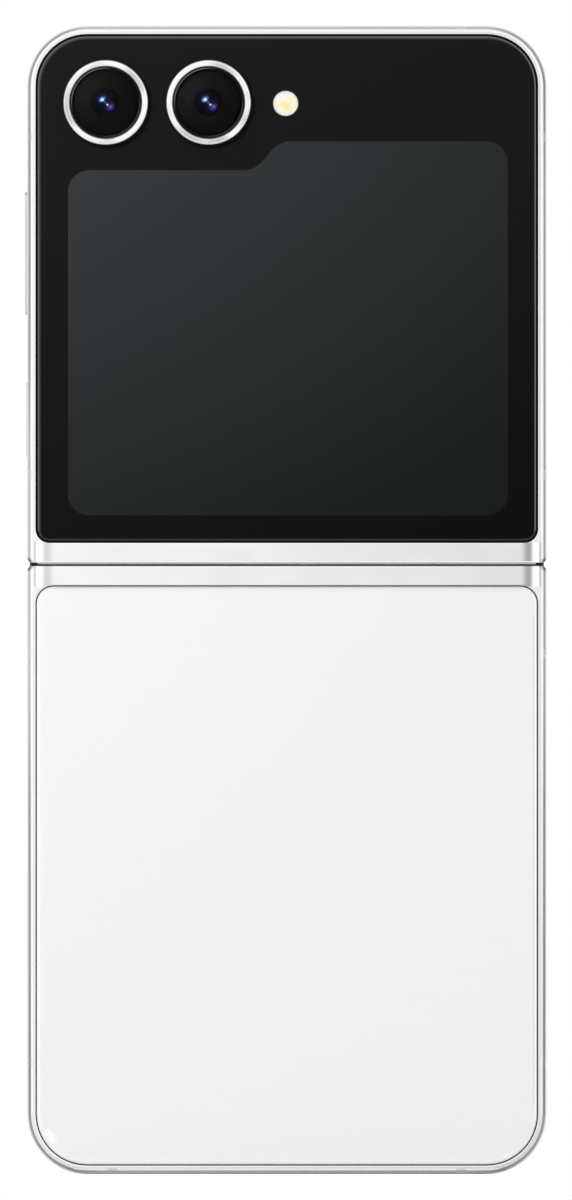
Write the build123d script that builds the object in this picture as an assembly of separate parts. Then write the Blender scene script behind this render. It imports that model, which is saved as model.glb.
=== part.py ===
from build123d import *
import os
from math import atan2, cos, degrees, pi, radians, sin, sqrt

# A phone that folds flat on itself, modelled open, as separate pieces. Lengths are millimetres.
# +Z runs along the phone from its bottom edge to its top edge, and +X is to the right when the outer side is
# seen. The outer side (cover glass, cameras, back glass) faces -Y and the folding display faces +Y.
# The origin is in the middle of the bottom edge, halfway through the body.
#
# Each half turns about its own virtual axis, and both axes belong to the spine between the halves. Arc rails
# on the halves run in grooves of the spine's housings. Toothed sectors and four pinions keep the halves in
# step.
#
# Most pieces of a half are drawn in the half's own frame: z = 0 is the hinge line and the half extends to +z.
# at_hinge() lifts such a piece into the upper half, and in_lower() mirrors it into the lower half.

# ---- overall form ----
width = 71.9
lower_length = 84.42  # bottom edge to hinge line
upper_length = 74.58  # hinge line to top edge
body_thickness = 6.9  # back glass to display surface
corner_radius = 8.3
hinge_corner_radius = 0.8
outer_edge_radius = 1.1
rim_edge_radius = 0.8
hinge_edge_radius = 0.3
fold_gap = 0.3  # between the outer walls of the two halves

# ---- frame, glass and display ----
lip_width = 1.25  # frame seen around the glass
glass_thickness = 0.6
glass_gap = 0.12
glass_edge_radius = 0.45
lip_bevel_width = 0.15  # soft edge of the frame around the glass
lip_bevel_depth = 0.05
back_glass_start = 3.02  # hinge line to the back glass
back_glass_hinge_radius = 2.4
cover_glass_start = 3.08
cover_glass_hinge_radius = 1.8
frame_wall = 2.9  # side wall beside the cavity
deck_thickness = 0.6  # mid-plate that carries the display
display_thickness = 1.1
display_inset = 2.0  # frame outline to display edge
display_gap = 0.06
rim_drop = 0.45  # display surface down to the frame's inner rim
bezel_inset = 0.9
bezel_width = 1.65
bezel_proud = 0.4
bezel_lift = 0.04  # bezel lip over the display surface
band_width = 1.3
band_depth = 0.8
band_from_end = 15.4  # antenna bands, from the far end of each half
band_from_hinge = 12.4
band_from_middle = 24.15

# ---- hinge ----
axis_offset = 2.1  # hinge line to each fold axis
spine_radius = 4.5
spine_wall = 0.6
spine_gap = 0.15  # spine cover to the halves
spine_end_gap = 0.15
hinge_wall = 0.7  # outer wall of a half over the spine
side_web = 1.3  # side wall of a half beside the spine
shelf_end = 12.2  # hinge line to the cavity
cap_radius = 1.85
cap_gap = 0.1
cap_inset = 0.35  # end cap back from the side of the phone
cap_plug = 1.0  # end cap inside the cover
cover_edge_drop = 0.1
wing_thickness = 0.2
wing_reach = 1.5  # support wing past its fold axis, towards the hinge line
wing_length = 12.0
wing_side_gap = 0.2
arm_thickness = 0.2
module_centre = 21.0  # hinge housing from the middle of the phone
rail_width = 2.4
rail_inner_radius = 2.4
rail_outer_radius = 3.2
rail_angle = 150.0
rail_gap = 0.05
gear_bay = 3.2
web = 0.7  # housing wall between gear bay and rail groove
housing_side = 0.8
housing_drop = 1.65  # fold axis down to the top of the housing
housing_fit = 0.05
side_play = 0.1
tab_length = 3.0
tab_thickness = 0.8
gear_module = 0.14
pinion_teeth = 10
sector_teeth = 26  # teeth of the full circle that the sector is cut from
addendum = 0.11
dedendum = 0.16
backlash = 0.05
gear_room = 0.1
journal_radius = 0.28
journal_gap = 0.03
journal_length = 0.5
base_thickness = 0.85
base_length = 4.7
screw_radius = 0.5
screw_head_radius = 0.85
screw_head_height = 0.35
screw_gap = 0.04
base_screw_length = 2.6
tab_screw_length = 0.5

# ---- outer side of the upper half; "from end" counts from the top edge ----
camera_pitch = 14.26
camera_pair_shift = -0.145  # from midway between the side wall and the selfie camera
camera_from_end = 10.6
ring_radius = 5.9
ring_bore = 5.03
ring_proud = 1.3
ring_edge_radius = 0.35
ring_inner_edge_radius = 0.2
ring_leg = 0.5
ring_leg_radius = 5.15
ring_leg_gap = 0.05
ring_seat_radius = 4.6
lens_window_thickness = 0.5
lens_window_inset = 0.15
lens_window_gap = 0.03
barrel_radius = 4.4
barrel_gap = 0.2  # lens window to the barrel
barrel_steps = ((3.6, 0.25), (2.9, 0.5), (2.2, 0.75), (1.5, 1.0))  # radius and depth of each step
front_lens_radius = 2.2
front_lens_drop = 0.4  # front lens below the barrel's front
camera_body = 10.4
camera_body_radius = 1.0
camera_neck = 0.9  # cover glass to the camera body
flash_pitch = 10.68  # from the nearer camera
flash_from_end = 10.75
flash_radius = 1.775
flash_edge_radius = 0.2
flash_gap = 0.03
flash_stem = 0.3  # flash lens behind the glass
flash_module_margin = 0.6
flash_module_depth = 0.9
cover_display_from_left = 5.65
cover_display_from_right = 5.35
cover_display_start = 6.78  # hinge line to the cover display
cover_display_from_end = 16.0
cover_display_step = 4.0  # height of the step beside the cameras
cover_display_step_from_flash = (-4.31, -0.85)
cover_display_radius = 2.9
cover_display_step_radius = 3.4
cover_display_thickness = 0.7
cover_display_gap = 0.15
cover_display_back_gap = 0.05

# ---- keys, tray and other pieces in the walls ----
key_y = -0.2
key_proud = 0.3
key_width = 2.1
key_gap = 0.08
key_flange_room = 0.3
key_flange = 0.4
key_flange_margin = 0.4
key_edge_radius = 0.1
key_foot_radius = 0.6
key_foot_height = 0.3
side_key_travel_room = 0.3  # side key's feet to the switch domes
dome_radius = 0.8
dome_height = 0.3
switch_base = 0.6
switch_width = 2.4
fulcrum_radius = 0.3  # round rib that the volume key rocks on
fulcrum_gap = 0.02
volume_foot_extra = 0.15  # volume key's feet, past the side key's
volume_key_from_end = 31.53
volume_key_length = 17.1
side_key_centre = 20.0  # from the hinge line
side_key_length = 10.4
side_key_proud = 0.12
tray_from_end = 30.58
tray_door_length = 11.6
tray_door_width = 2.0
tray_depth = 17.0
tray_thickness = 0.9
tray_width = 10.4
tray_door_thickness = 1.2
tray_door_edge_radius = 0.08
tray_rim = 0.8  # tray beside and beyond the card
tray_floor = 0.25
tray_pin_radius = 0.45
tray_pin_from_end = 1.6
reader_wall = 1.0
reader_skin = 0.42  # reader's metal over the tray
reader_end_gap = 0.3
usb_width = 8.94
usb_height = 3.26
usb_depth = 7.3
usb_shell = 0.3
usb_set_back = 0.05
usb_gap = 0.05
usb_floor = 1.0
usb_tongue_width = 6.4
usb_tongue_thickness = 0.7
usb_tongue_set_back = 0.9
speaker_slots = 5
speaker_slot_pitch = 2.6
speaker_slot_length = 1.7
speaker_slot_width = 1.0
mic_x = -9.5
top_mic_x = 12.0
mic_radius = 0.45
ear_slit_length = 10.0
ear_slit_width = 0.5
ear_slit_from_end = 1.25
ear_duct_width = 1.8
selfie_from_end = 5.98
selfie_radius = 1.55
selfie_hole_radius = 1.9
selfie_gap = 0.1
selfie_recess = 0.35  # display surface down to the camera's front
selfie_body = 5.2
selfie_body_depth = 2.25

# ---- inner pieces ----
seat_gap = 0.1  # adhesive under a piece that lies on the deck
cavity_radius = 2.0
sub_bay_length = 19.0  # bottom edge to the wall between the lower half's two bays
sub_bay_radius = 1.0
bay_wall = 1.0
cell_gap = 0.8  # battery to the ends of its bay
cell_side_gap = 2.0
cell_to_glass = 0.9
cell_radius = 1.5
cell_to_keys = 3.0
cell_to_reader = 3.5
cell_to_board = 2.0
cell_to_display = 0.2
coil_inner_radius = 11.0
coil_outer_radius = 23.0
coil_thickness = 0.4
coil_gap = 0.05
board_thickness = 0.8
board_side_gap = 1.5
sub_board_start = 0.6  # bay wall to the sub board
port_room = 0.3
main_board_length = 14.5
main_board_from_end = 6.1
main_board_side_gap = 1.0
main_board_radius = 2.0
board_to_selfie = 2.4
board_screw_inset = 1.7
board_screw_reach = 0.5  # screw past the board
can_side_margin = 3.2
can_end_margin = 1.5
can_spacing = 1.5
can_height = 1.5
can_radius = 0.6
speaker_from_side = 8.75  # right side to the loudspeaker
speaker_length = 19.0
speaker_depth = 11.0
speaker_to_glass = 0.5
speaker_radius = 1.5
speaker_gap = 0.3
under_board_gap = 0.05
motor_from_side = 14.45
motor_radius = 4.4
motor_start = 7.5  # bay wall to the motor's middle
motor_to_glass = 0.8
earpiece_length = 12.0
earpiece_width = 2.7
earpiece_depth = 2.85
earpiece_gap = 0.2
earpiece_to_selfie = 0.6

# ---- worked out from the sizes above ----
outer_y = -body_thickness / 2
display_y = body_thickness / 2
glass_y = outer_y + glass_thickness
panel_y = display_y - display_thickness
deck_y = panel_y - deck_thickness
rim_y = display_y - rim_drop
bezel_y = display_y + bezel_proud
axis_y = outer_y + hinge_wall + spine_gap + spine_radius
pocket_radius = spine_radius + spine_gap
bay_half = width / 2 - side_web
cover_half = bay_half - spine_end_gap
wing_y = panel_y - wing_thickness
arm_y = wing_y - arm_thickness
housing_y = axis_y - housing_drop
seat_y = deck_y - seat_gap
panel_start = axis_offset + cap_radius + cap_gap
wing_half = cover_half - cap_plug - wing_side_gap
pinion_pitch = gear_module * pinion_teeth / 2
sector_pitch = gear_module * sector_teeth / 2
pinion_y = axis_y - sqrt((pinion_pitch + sector_pitch) ** 2 - (axis_offset - 3 * pinion_pitch) ** 2)
module_half = gear_bay / 2 + web + rail_width + housing_side
base_start = axis_offset + pocket_radius + gear_room
cavity_half = width / 2 - frame_wall
camera_middle = camera_pair_shift - (cavity_half + selfie_body / 2) / 2
camera_x = (camera_middle - camera_pitch / 2, camera_middle + camera_pitch / 2)
camera_z = upper_length - camera_from_end
flash_x = camera_x[1] + flash_pitch
flash_z = upper_length - flash_from_end
selfie_z = upper_length - selfie_from_end
volume_key_centre = upper_length - volume_key_from_end
tray_centre = upper_length - tray_from_end
key_ledge = width / 2 - frame_wall / 2  # where the keys' flanges would stop
key_back = key_ledge - key_flange_room - key_flange
reader_back = width / 2 - tray_depth - reader_end_gap - reader_wall
sub_bay_start = lower_length - sub_bay_length
under_board = seat_y - board_thickness - under_board_gap
speaker_x = width / 2 - speaker_from_side - speaker_length / 2
clear = 1.0  # how far a cut runs past the material it opens


# ---- drawing helpers ----
def plate(face, y_low, y_high):
    """Raise an XZ outline from one Y level to another."""
    return extrude(Plane.XZ.offset(-y_high) * face, amount=y_high - y_low)


def bar(face, x_low, x_high):
    """Run a YZ profile from one X place to another."""
    return extrude(Plane.YZ.offset(x_low) * face, amount=x_high - x_low)


def block(x, y, z):
    """Box between two X, two Y and two Z values."""
    size = [high - low for low, high in (x, y, z)]
    middle = [(low + high) / 2 for low, high in (x, y, z)]
    return Pos(*middle) * Box(*size)


def area(u, v):
    """Rectangle between two values of each sketch direction."""
    return Pos((u[0] + u[1]) / 2, (v[0] + v[1]) / 2) * Rectangle(u[1] - u[0], v[1] - v[0])


def disc(x, z, radius, y_low, y_high):
    """Cylinder along Y."""
    return plate(Pos(x, z) * Circle(radius), y_low, y_high)


def turned(x, y, z, solid):
    """Stand a piece drawn along +Z on the outer side, so that its top faces -Y."""
    return Pos(x, y, z) * Rot(90, 0, 0) * solid


def pad(x, y, z, radius):
    """Box with rounded upright corners, flat towards the glass."""
    face = Pos((x[0] + x[1]) / 2, (z[0] + z[1]) / 2) * RectangleRounded(x[1] - x[0], z[1] - z[0], radius)
    return plate(face, y[0], y[1])


def at_hinge(solid):
    """From the hinge frame into the phone, which is also the upper half's place."""
    return Pos(0, 0, lower_length) * solid


def in_lower(solid):
    """From a half's own frame into the lower half."""
    return at_hinge(mirror(solid, about=Plane.XY))


def outline(length, inset, start, near_radius=0.0):
    """Outline of a half, moved in by inset at the sides and the far end, from z = start."""
    face = area((inset - width / 2, width / 2 - inset), (start, length - inset))
    face = fillet(face.vertices().sort_by(Axis.Y)[-2:], corner_radius - inset)
    if near_radius:
        face = fillet(face.vertices().sort_by(Axis.Y)[:2], near_radius)
    return face


def swing_profile(radius):
    """What a round body of this radius about the fold axis, and all it carries, sweeps through in a half."""
    circle = Pos(axis_y, axis_offset) * Circle(radius)
    near = area((axis_y - radius, bezel_y + clear), (-clear, axis_offset))
    above = area((axis_y, bezel_y + clear), (-clear, axis_offset + radius))
    return circle + near + above


def stadium(radius):
    """Round-ended outline about both fold axes."""
    ends = [Pos(0, side * axis_offset) * Circle(radius) for side in (-1, 1)]
    return Pos(axis_y, 0) * (Rectangle(2 * radius, 2 * axis_offset) + ends)


def screw(x, y, z, length):
    """Flat-headed machine screw whose head top is at y; the shank runs to -Y."""
    head = disc(x, z, screw_head_radius, y - screw_head_height, y)
    socket = disc(x, z, screw_head_radius * 0.45, y - screw_head_height / 2, y)
    return head - socket + disc(x, z, screw_radius, y - screw_head_height - length, y - screw_head_height)


def screw_hole(x, y, z, length):
    """Room for a screw of the same place and length."""
    head = disc(x, z, screw_head_radius + screw_gap, y - screw_head_height, y + clear)
    shank = disc(x, z, screw_radius + screw_gap, y - screw_head_height - length - screw_gap, y)
    return head + shank


# ---- frames ----
def frame_blank(length):
    """Outer form of a half before anything is cut into it."""
    start = fold_gap / 2
    body = plate(outline(length, 0, start), outer_y, rim_y)
    for which, radius in ((0, outer_edge_radius), (-1, rim_edge_radius)):
        face = body.faces().sort_by(Axis.Y)[which]
        body = fillet([edge for edge in face.edges() if edge.center().Z > start + clear], radius)
    reach = hinge_corner_radius
    for side in (-1, 1):
        corner = Pos(side * (width / 2 - reach / 2 + clear / 2), start + reach / 2 - clear / 2)
        notch = corner * Rectangle(reach + clear, reach + clear)
        notch -= Pos(side * (width / 2 - reach), start + reach) * Circle(reach)
        body -= plate(notch, outer_y - clear, rim_y + clear)
    edge_high = hinge_edge_radius
    notch = area((outer_y - clear, outer_y + edge_high), (start - clear, start + edge_high))
    notch -= Pos(outer_y + edge_high, start + edge_high) * Circle(edge_high)
    return body - bar(notch, -width, width)


def band_cuts(length):
    """Where the antenna bands cross the outer skin of the frame."""
    low, high = outer_y - clear, rim_y + clear
    half = band_width / 2
    cuts = []
    for z in (band_from_hinge, length - band_from_end):
        cuts.append(block((-width, width), (low, high), (z - half, z + half)))
    for side in (-1, 1):
        x = side * band_from_middle
        cuts.append(block((x - half, x + half), (low, high), (length - frame_wall, length + clear)))
    core = plate(outline(length, band_depth, -clear), low - clear, high + clear)
    return [cut - core for cut in cuts]


def lip_bevel(length, start, radius):
    """Shallow bevel along the mouth of the glass pocket."""
    inset = lip_width - glass_gap
    wide, deep = 2 * lip_bevel_width, lip_bevel_depth
    mouth = outline(length, inset - wide, start - wide, radius + wide)
    foot = outline(length, inset, start, radius)
    return loft([Plane.XZ.offset(deep - outer_y) * mouth, Plane.XZ.offset(-deep - outer_y) * foot])


def half_frame(length, glass_start, glass_radius):
    """Tray of one half: glass pocket, display pocket, hinge bay and shelf, without the cavities."""
    blank = frame_blank(length)
    cuts = band_cuts(length)
    bands = [blank & cut for cut in cuts]
    frame = blank - cuts
    pocket = outline(length, lip_width - glass_gap, glass_start - glass_gap, glass_radius + glass_gap)
    frame -= plate(pocket, outer_y - clear, glass_y)
    frame -= lip_bevel(length, glass_start - glass_gap, glass_radius + glass_gap)
    frame -= plate(outline(length, display_inset - display_gap, -clear), panel_y, rim_y + clear)
    frame -= bar(swing_profile(pocket_radius), -bay_half, bay_half)
    frame -= bar(swing_profile(cap_radius + cap_gap), -width, width)
    recess_half = wing_half + wing_side_gap
    frame -= block((-recess_half, recess_half), (wing_y, panel_y + clear), (0, wing_length + display_gap))
    base_end = base_start + base_length + gear_room
    for x in bracket_span():
        low, high = x[0] - side_play, x[1] + side_play
        frame -= block((low, high), (wing_y - base_thickness, panel_y), (0, base_end))
    for x, y, z in base_screws():
        frame -= screw_hole(x, y, z, base_screw_length)
    return frame, bands


def glass_panel(length, glass_start, glass_radius):
    """Glass with softened outer edges, set in the frame's pocket."""
    panel = plate(outline(length, lip_width, glass_start, glass_radius), outer_y, glass_y)
    return fillet(panel.faces().sort_by(Axis.Y)[0].edges(), glass_edge_radius)


def display_panel(length):
    """Rigidly backed part of the folding display in one half."""
    return plate(outline(length, display_inset, panel_start), panel_y, display_y)


def bezel(length):
    """Raised soft rim that covers the display's edge."""
    start = axis_offset + cap_radius + cap_gap
    ring = outline(length, bezel_inset, start) - outline(length, bezel_inset + bezel_width, start - clear)
    body = plate(ring, rim_y, bezel_y)
    top = body.faces().sort_by(Axis.Y)[-1]
    body = fillet([edge for edge in top.edges() if edge.length > 2 * bezel_width], bezel_proud * 0.6)
    room = outline(length, display_inset - display_gap, -clear)
    return body - plate(room, rim_y - clear, display_y + bezel_lift)


def wing():
    """Thin steel plate that carries the display over the hinge bay."""
    start = axis_offset - wing_reach
    return plate(area((-wing_half, wing_half), (start, wing_length)), wing_y, panel_y)


# ---- hinge ----
def zone(module, which):
    """X limits of a housing's gear bay (0) or of its rail groove for the lower (-1) or the upper (1) half."""
    inner = gear_bay / 2 + web
    if which == 0:
        return (module - gear_bay / 2, module + gear_bay / 2)
    near, far = sorted((which * inner, which * (inner + rail_width)))
    return (module + near, module + far)


def narrowed(limits):
    """The same limits, less the side play."""
    return (limits[0] + side_play, limits[1] - side_play)


def modules():
    """Middle of each hinge housing along X."""
    return (-module_centre, module_centre)


def bracket_span():
    """X limits of the brackets of either half, wide enough for both rails."""
    return [(module - module_half, module + module_half) for module in modules()]


def base_screws():
    """Head places of the screws that hold the brackets' bases."""
    z = base_start + base_length / 2
    reach = module_half - 2 * screw_head_radius
    return [(module + side * reach, wing_y, z) for module in modules() for side in (-1, 1)]


def tooth(pitch_radius):
    """Gear tooth on +u with straight flanks, a little narrower than half the tooth spacing."""
    half = (pi * gear_module / 2 - backlash) / 2
    root = pitch_radius - dedendum - backlash
    tip = pitch_radius + addendum
    points = [(root, -half * 1.35), (tip, -half * 0.5), (tip, half * 0.5), (root, half * 1.35)]
    return Polygon(*points, align=None)


def meshing_phase(phase, driver_pitch, driven_pitch, direction):
    """Angle of a tooth of the gear that lies in the given direction from its driver."""
    shift = pi * gear_module / 2 - driver_pitch * radians(phase - direction)
    return direction + 180 + degrees(shift / driven_pitch)


def gear_train():
    """Pinion places and tooth angles, and the tooth angles of the lower and the upper sector."""
    zs = [step * pinion_pitch for step in (-3, -1, 1, 3)]
    lower_direction = degrees(atan2(zs[0] + axis_offset, pinion_y - axis_y))
    phases = [meshing_phase(lower_direction, sector_pitch, pinion_pitch, lower_direction)]
    for _ in zs[1:]:
        phases.append(meshing_phase(phases[-1], pinion_pitch, pinion_pitch, 90))
    upper_direction = degrees(atan2(axis_offset - zs[3], axis_y - pinion_y))
    upper_phase = meshing_phase(phases[-1], pinion_pitch, sector_pitch, upper_direction)
    return zs, phases, lower_direction, upper_phase


def pinion(z, phase):
    """One pinion in each housing, with its journals."""
    face = Circle(pinion_pitch - dedendum)
    face += [Rot(0, 0, phase + 360 * i / pinion_teeth) * tooth(pinion_pitch) for i in range(pinion_teeth)]
    solids = []
    for module in modules():
        low, high = narrowed(zone(module, 0))
        reach = gear_bay / 2 + journal_length
        gear = bar(Pos(pinion_y, z) * face, low, high)
        gear += bar(Pos(pinion_y, z) * Circle(journal_radius), module - reach, module + reach)
        solids.append(gear)
    return solids


def sector_face(side, phase):
    """Toothed disc about the fold axis of the lower (-1) or upper (1) half, cut off level with the arm."""
    face = Circle(sector_pitch - dedendum)
    for i in range(sector_teeth):
        angle = phase + 360 * i / sector_teeth
        turn = degrees(atan2(-cos(radians(angle)), side * sin(radians(angle)))) % 360
        if 70 <= turn <= 188:
            face += Rot(0, 0, angle) * tooth(sector_pitch)
    placed = Pos(axis_y, side * axis_offset) * face
    return placed & area((axis_y - 2 * sector_pitch, wing_y), (-3 * axis_offset, 3 * axis_offset))


def rail_face():
    """Arc rail about the fold axis, in a half's own frame, with its riser to the arm."""
    turns = [radians(rail_angle * i / 3) for i in range(4)]
    reach = 3 * rail_outer_radius
    wedge = Polygon((0, 0), *[(-reach * sin(turn), reach * cos(turn)) for turn in turns], align=None)
    arc = (Circle(rail_outer_radius) - Circle(rail_inner_radius)) & wedge
    arc = Pos(axis_y, axis_offset) * arc
    return arc + area((axis_y, wing_y), (axis_offset + rail_inner_radius, axis_offset + rail_outer_radius))


def brackets(side, phase):
    """The two hinge brackets of the lower (-1) or upper (1) half, in the hinge frame."""
    solids = []
    for module in modules():
        rail_x = narrowed(zone(module, side))
        gear_x = narrowed(zone(module, 0))
        arm_x = (min(rail_x[0], gear_x[0]), max(rail_x[1], gear_x[1]))
        base_x = (module - module_half, module + module_half)
        arm_start = axis_offset - wing_reach
        body = block(arm_x, (arm_y, wing_y), (arm_start, base_start))
        base_z = (base_start, base_start + base_length)
        body += block(base_x, (wing_y - base_thickness, wing_y), base_z)
        body += bar(rail_face(), *rail_x)
        for x, y, z in base_screws():
            body -= screw_hole(x, y, z, base_screw_length)
        if side < 0:
            body = mirror(body, about=Plane.XY)
        solids.append(body + bar(sector_face(side, phase), *gear_x))
    return solids


def spine_cover():
    """Curved cover that closes the gap between the folded halves."""
    skin = stadium(spine_radius) - stadium(spine_radius - spine_wall)
    skin &= area((axis_y - 2 * spine_radius, axis_y - cover_edge_drop), (-3 * spine_radius, 3 * spine_radius))
    return bar(skin, -cover_half, cover_half) - tab_screw_holes()


def end_caps():
    """T-shaped caps: a plug in the cover's end, and a round-ended head that fills the notch at the side."""
    plug = stadium(spine_radius - spine_wall - housing_fit)
    plug &= area((axis_y - 2 * spine_radius, axis_y - cover_edge_drop), (-3 * spine_radius, 3 * spine_radius))
    inner = cover_half - cap_plug
    cap = bar(plug, inner, cover_half) + bar(stadium(cap_radius), inner, width / 2 - cap_inset)
    outer = cap.faces().sort_by(Axis.X)[-1]
    cap = fillet(outer.edges(), cap_inset)
    return [cap, mirror(cap, about=Plane.YZ)]


def tab_screws():
    """Head places of the screws that hold the housings to the cover."""
    floor = axis_y - spine_radius + spine_wall + housing_fit
    reach = module_half + tab_length / 2
    return [(module + side * reach, floor + tab_thickness, 0) for module in modules() for side in (-1, 1)]


def tab_screw_holes():
    """Clearance for those screws."""
    return [screw_hole(x, y, z, tab_screw_length) for x, y, z in tab_screws()]


def housings(zs):
    """Hinge housings with an arc groove for each rail, an open gear bay and bores for the pinions."""
    outer = stadium(spine_radius - spine_wall - housing_fit)
    body_face = outer & area((axis_y - 2 * spine_radius, housing_y), (-3 * spine_radius, 3 * spine_radius))
    floor = axis_y - spine_radius + spine_wall + housing_fit
    tab_face = outer & area((floor, floor + tab_thickness), (-axis_offset, axis_offset))
    groove = Circle(rail_outer_radius + rail_gap) - Circle(rail_inner_radius - rail_gap)
    tip = pinion_pitch + addendum + gear_room
    bay = area((pinion_y - tip, axis_y), (zs[0] - tip, zs[-1] + tip))
    bay += [Pos(axis_y, side * axis_offset) * Circle(sector_pitch + addendum + gear_room) for side in (-1, 1)]
    solids = []
    for module in modules():
        body = bar(body_face, module - module_half, module + module_half)
        reach = module_half + tab_length
        body += bar(tab_face, module - reach, module + reach)
        body -= bar(bay, *zone(module, 0))
        for side in (-1, 1):
            body -= bar(Pos(axis_y, side * axis_offset) * groove, *zone(module, side))
        bore = gear_bay / 2 + journal_length + journal_gap
        for z in zs:
            body -= bar(Pos(pinion_y, z) * Circle(journal_radius + journal_gap), module - bore, module + bore)
        body -= tab_screw_holes()
        solids.append(body)
    return solids


def fold_strip():
    """Part of the folding display that bends, flat while the phone is open."""
    reach = panel_start - display_gap
    return plate(area((-wing_half, wing_half), (-reach, reach)), panel_y, display_y)


# ---- outer side of the upper half ----
def cover_display_face(grow=0.0):
    """Outline of the cover display: a rounded panel whose left part stops lower, beside the cameras."""
    end = upper_length - cover_display_from_end
    low = end - cover_display_step
    left = cover_display_from_left - width / 2 - grow
    right = width / 2 - cover_display_from_right + grow
    step = [flash_x + x for x in cover_display_step_from_flash]
    points = [
        (left, cover_display_start - grow),
        (right, cover_display_start - grow),
        (right, end + grow),
        (step[1] - grow, end + grow),
        (step[0] - grow, low + grow),
        (left, low + grow),
    ]
    face = make_face(Polyline(*points, close=True))
    across = (left + clear, right - clear)
    face = fillet(face.vertices().filter_by_position(Axis.X, *across), cover_display_step_radius)
    ends = [corner for corner in face.vertices() if corner.X < across[0] or corner.X > across[1]]
    return fillet(ends, cover_display_radius)


def camera_ring(x):
    """Metal ring around a camera window, with a leg through the cover glass."""
    ring = Cylinder(ring_radius, ring_proud, align=(Align.CENTER, Align.CENTER, Align.MIN))
    ring = fillet(ring.edges().sort_by(Axis.Z)[-1], ring_edge_radius)
    leg = Cylinder(ring_leg_radius, ring_leg, align=(Align.CENTER, Align.CENTER, Align.MAX))
    seat = ring_proud - lens_window_inset - lens_window_thickness
    bore = Cylinder(ring_seat_radius, 3 * ring_proud)
    window = Pos(0, 0, seat) * Cylinder(ring_bore, ring_proud, align=(Align.CENTER, Align.CENTER, Align.MIN))
    ring = ring + leg - bore - window
    inner = ring.edges().filter_by(GeomType.CIRCLE).sort_by(Axis.Z)[-1]
    return turned(x, outer_y, camera_z, fillet(inner, ring_inner_edge_radius))


def lens_window(x):
    """Glass disc that closes a camera ring."""
    low = outer_y - ring_proud + lens_window_inset
    return disc(x, camera_z, ring_bore - lens_window_gap, low, low + lens_window_thickness)


def camera_module(x):
    """Camera body with its stepped barrel, which narrows to the domed front lens."""
    front = ring_proud - lens_window_inset - lens_window_thickness - barrel_gap
    depth = front + glass_thickness + camera_neck
    barrel = Cylinder(barrel_radius, depth, align=(Align.CENTER, Align.CENTER, Align.MAX))
    for radius, drop in barrel_steps:
        barrel -= Cylinder(radius, 2 * drop)
    lens_edge, floor = barrel_steps[-1]
    lens = Pos(0, 0, -front_lens_drop - front_lens_radius) * Sphere(front_lens_radius)
    stem = Cylinder(lens_edge, 2 * floor, align=(Align.CENTER, Align.CENTER, Align.MAX))
    barrel += lens & stem
    barrel = turned(x, outer_y - front, camera_z, barrel)
    half = camera_body / 2
    body_y = (outer_y - front + depth, seat_y)
    body = pad((x - half, x + half), body_y, (camera_z - half, camera_z + half), camera_body_radius)
    return barrel + body


def flash():
    """Flash lens set in the cover glass, and the light module behind it."""
    back = glass_y + flash_stem
    lens = disc(flash_x, flash_z, flash_radius, outer_y, back)
    lens = fillet(lens.edges().sort_by(Axis.Y)[0], flash_edge_radius)
    half = flash_radius + flash_module_margin
    x, z = (flash_x - half, flash_x + half), (flash_z - half, flash_z + half)
    return lens, block(x, (back, back + flash_module_depth), z)


def upper_cover_glass():
    """Cover glass with its holes for the camera rings and the flash."""
    panel = glass_panel(upper_length, cover_glass_start, cover_glass_hinge_radius)
    for x in camera_x:
        panel -= disc(x, camera_z, ring_leg_radius + ring_leg_gap, outer_y - clear, glass_y + clear)
    return panel - disc(flash_x, flash_z, flash_radius + flash_gap, outer_y - clear, glass_y + clear)


# ---- keys and tray, in the upper half's own frame ----
def wall_slot(length, high, gap):
    """Slot outline in the side wall, in the YZ plane, centred on the origin."""
    return RectangleRounded(high + 2 * gap, length + 2 * gap, (high + 2 * gap) / 2 - 0.01)


def key(centre, length, proud, foot_height):
    """Side key: cap through the wall, flange behind it that keeps it in, and two feet for the switches."""
    flange = key_back + key_flange
    margin = 2 * key_flange_margin
    cap = bar(wall_slot(length, key_width, 0), flange, width / 2 + proud)
    cap = fillet(cap.faces().sort_by(Axis.X)[-1].edges(), key_edge_radius)
    cap += bar(wall_slot(length + margin, key_width + margin, 0), key_back, flange)
    for side in (-1, 1):
        cap += bar(Pos(0, side * length / 4) * Circle(key_foot_radius), key_back - foot_height, key_back)
    return mirror(Pos(0, key_y, centre) * cap, about=Plane.YZ)


def volume_key():
    """Long key with a round rib across the middle of its back, on which it rocks."""
    foot_height = key_foot_height + volume_foot_extra
    rib = Pos(-key_back, volume_key_centre) * Circle(fulcrum_radius)
    body = key(volume_key_centre, volume_key_length, key_proud, foot_height)
    return body + plate(rib, key_y - key_width / 2, key_y + key_width / 2)


def key_opening(centre, length):
    """Stepped opening in the wall for a key."""
    margin = 2 * (key_flange_margin + key_gap)
    cut = bar(wall_slot(length, key_width, key_gap), key_ledge - clear / 2, width / 2 + clear)
    flange_room = wall_slot(length + margin, key_width + margin, key_gap)
    cut += bar(flange_room, cavity_half - clear, key_ledge)
    return mirror(Pos(0, key_y, centre) * cut, about=Plane.YZ)


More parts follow.
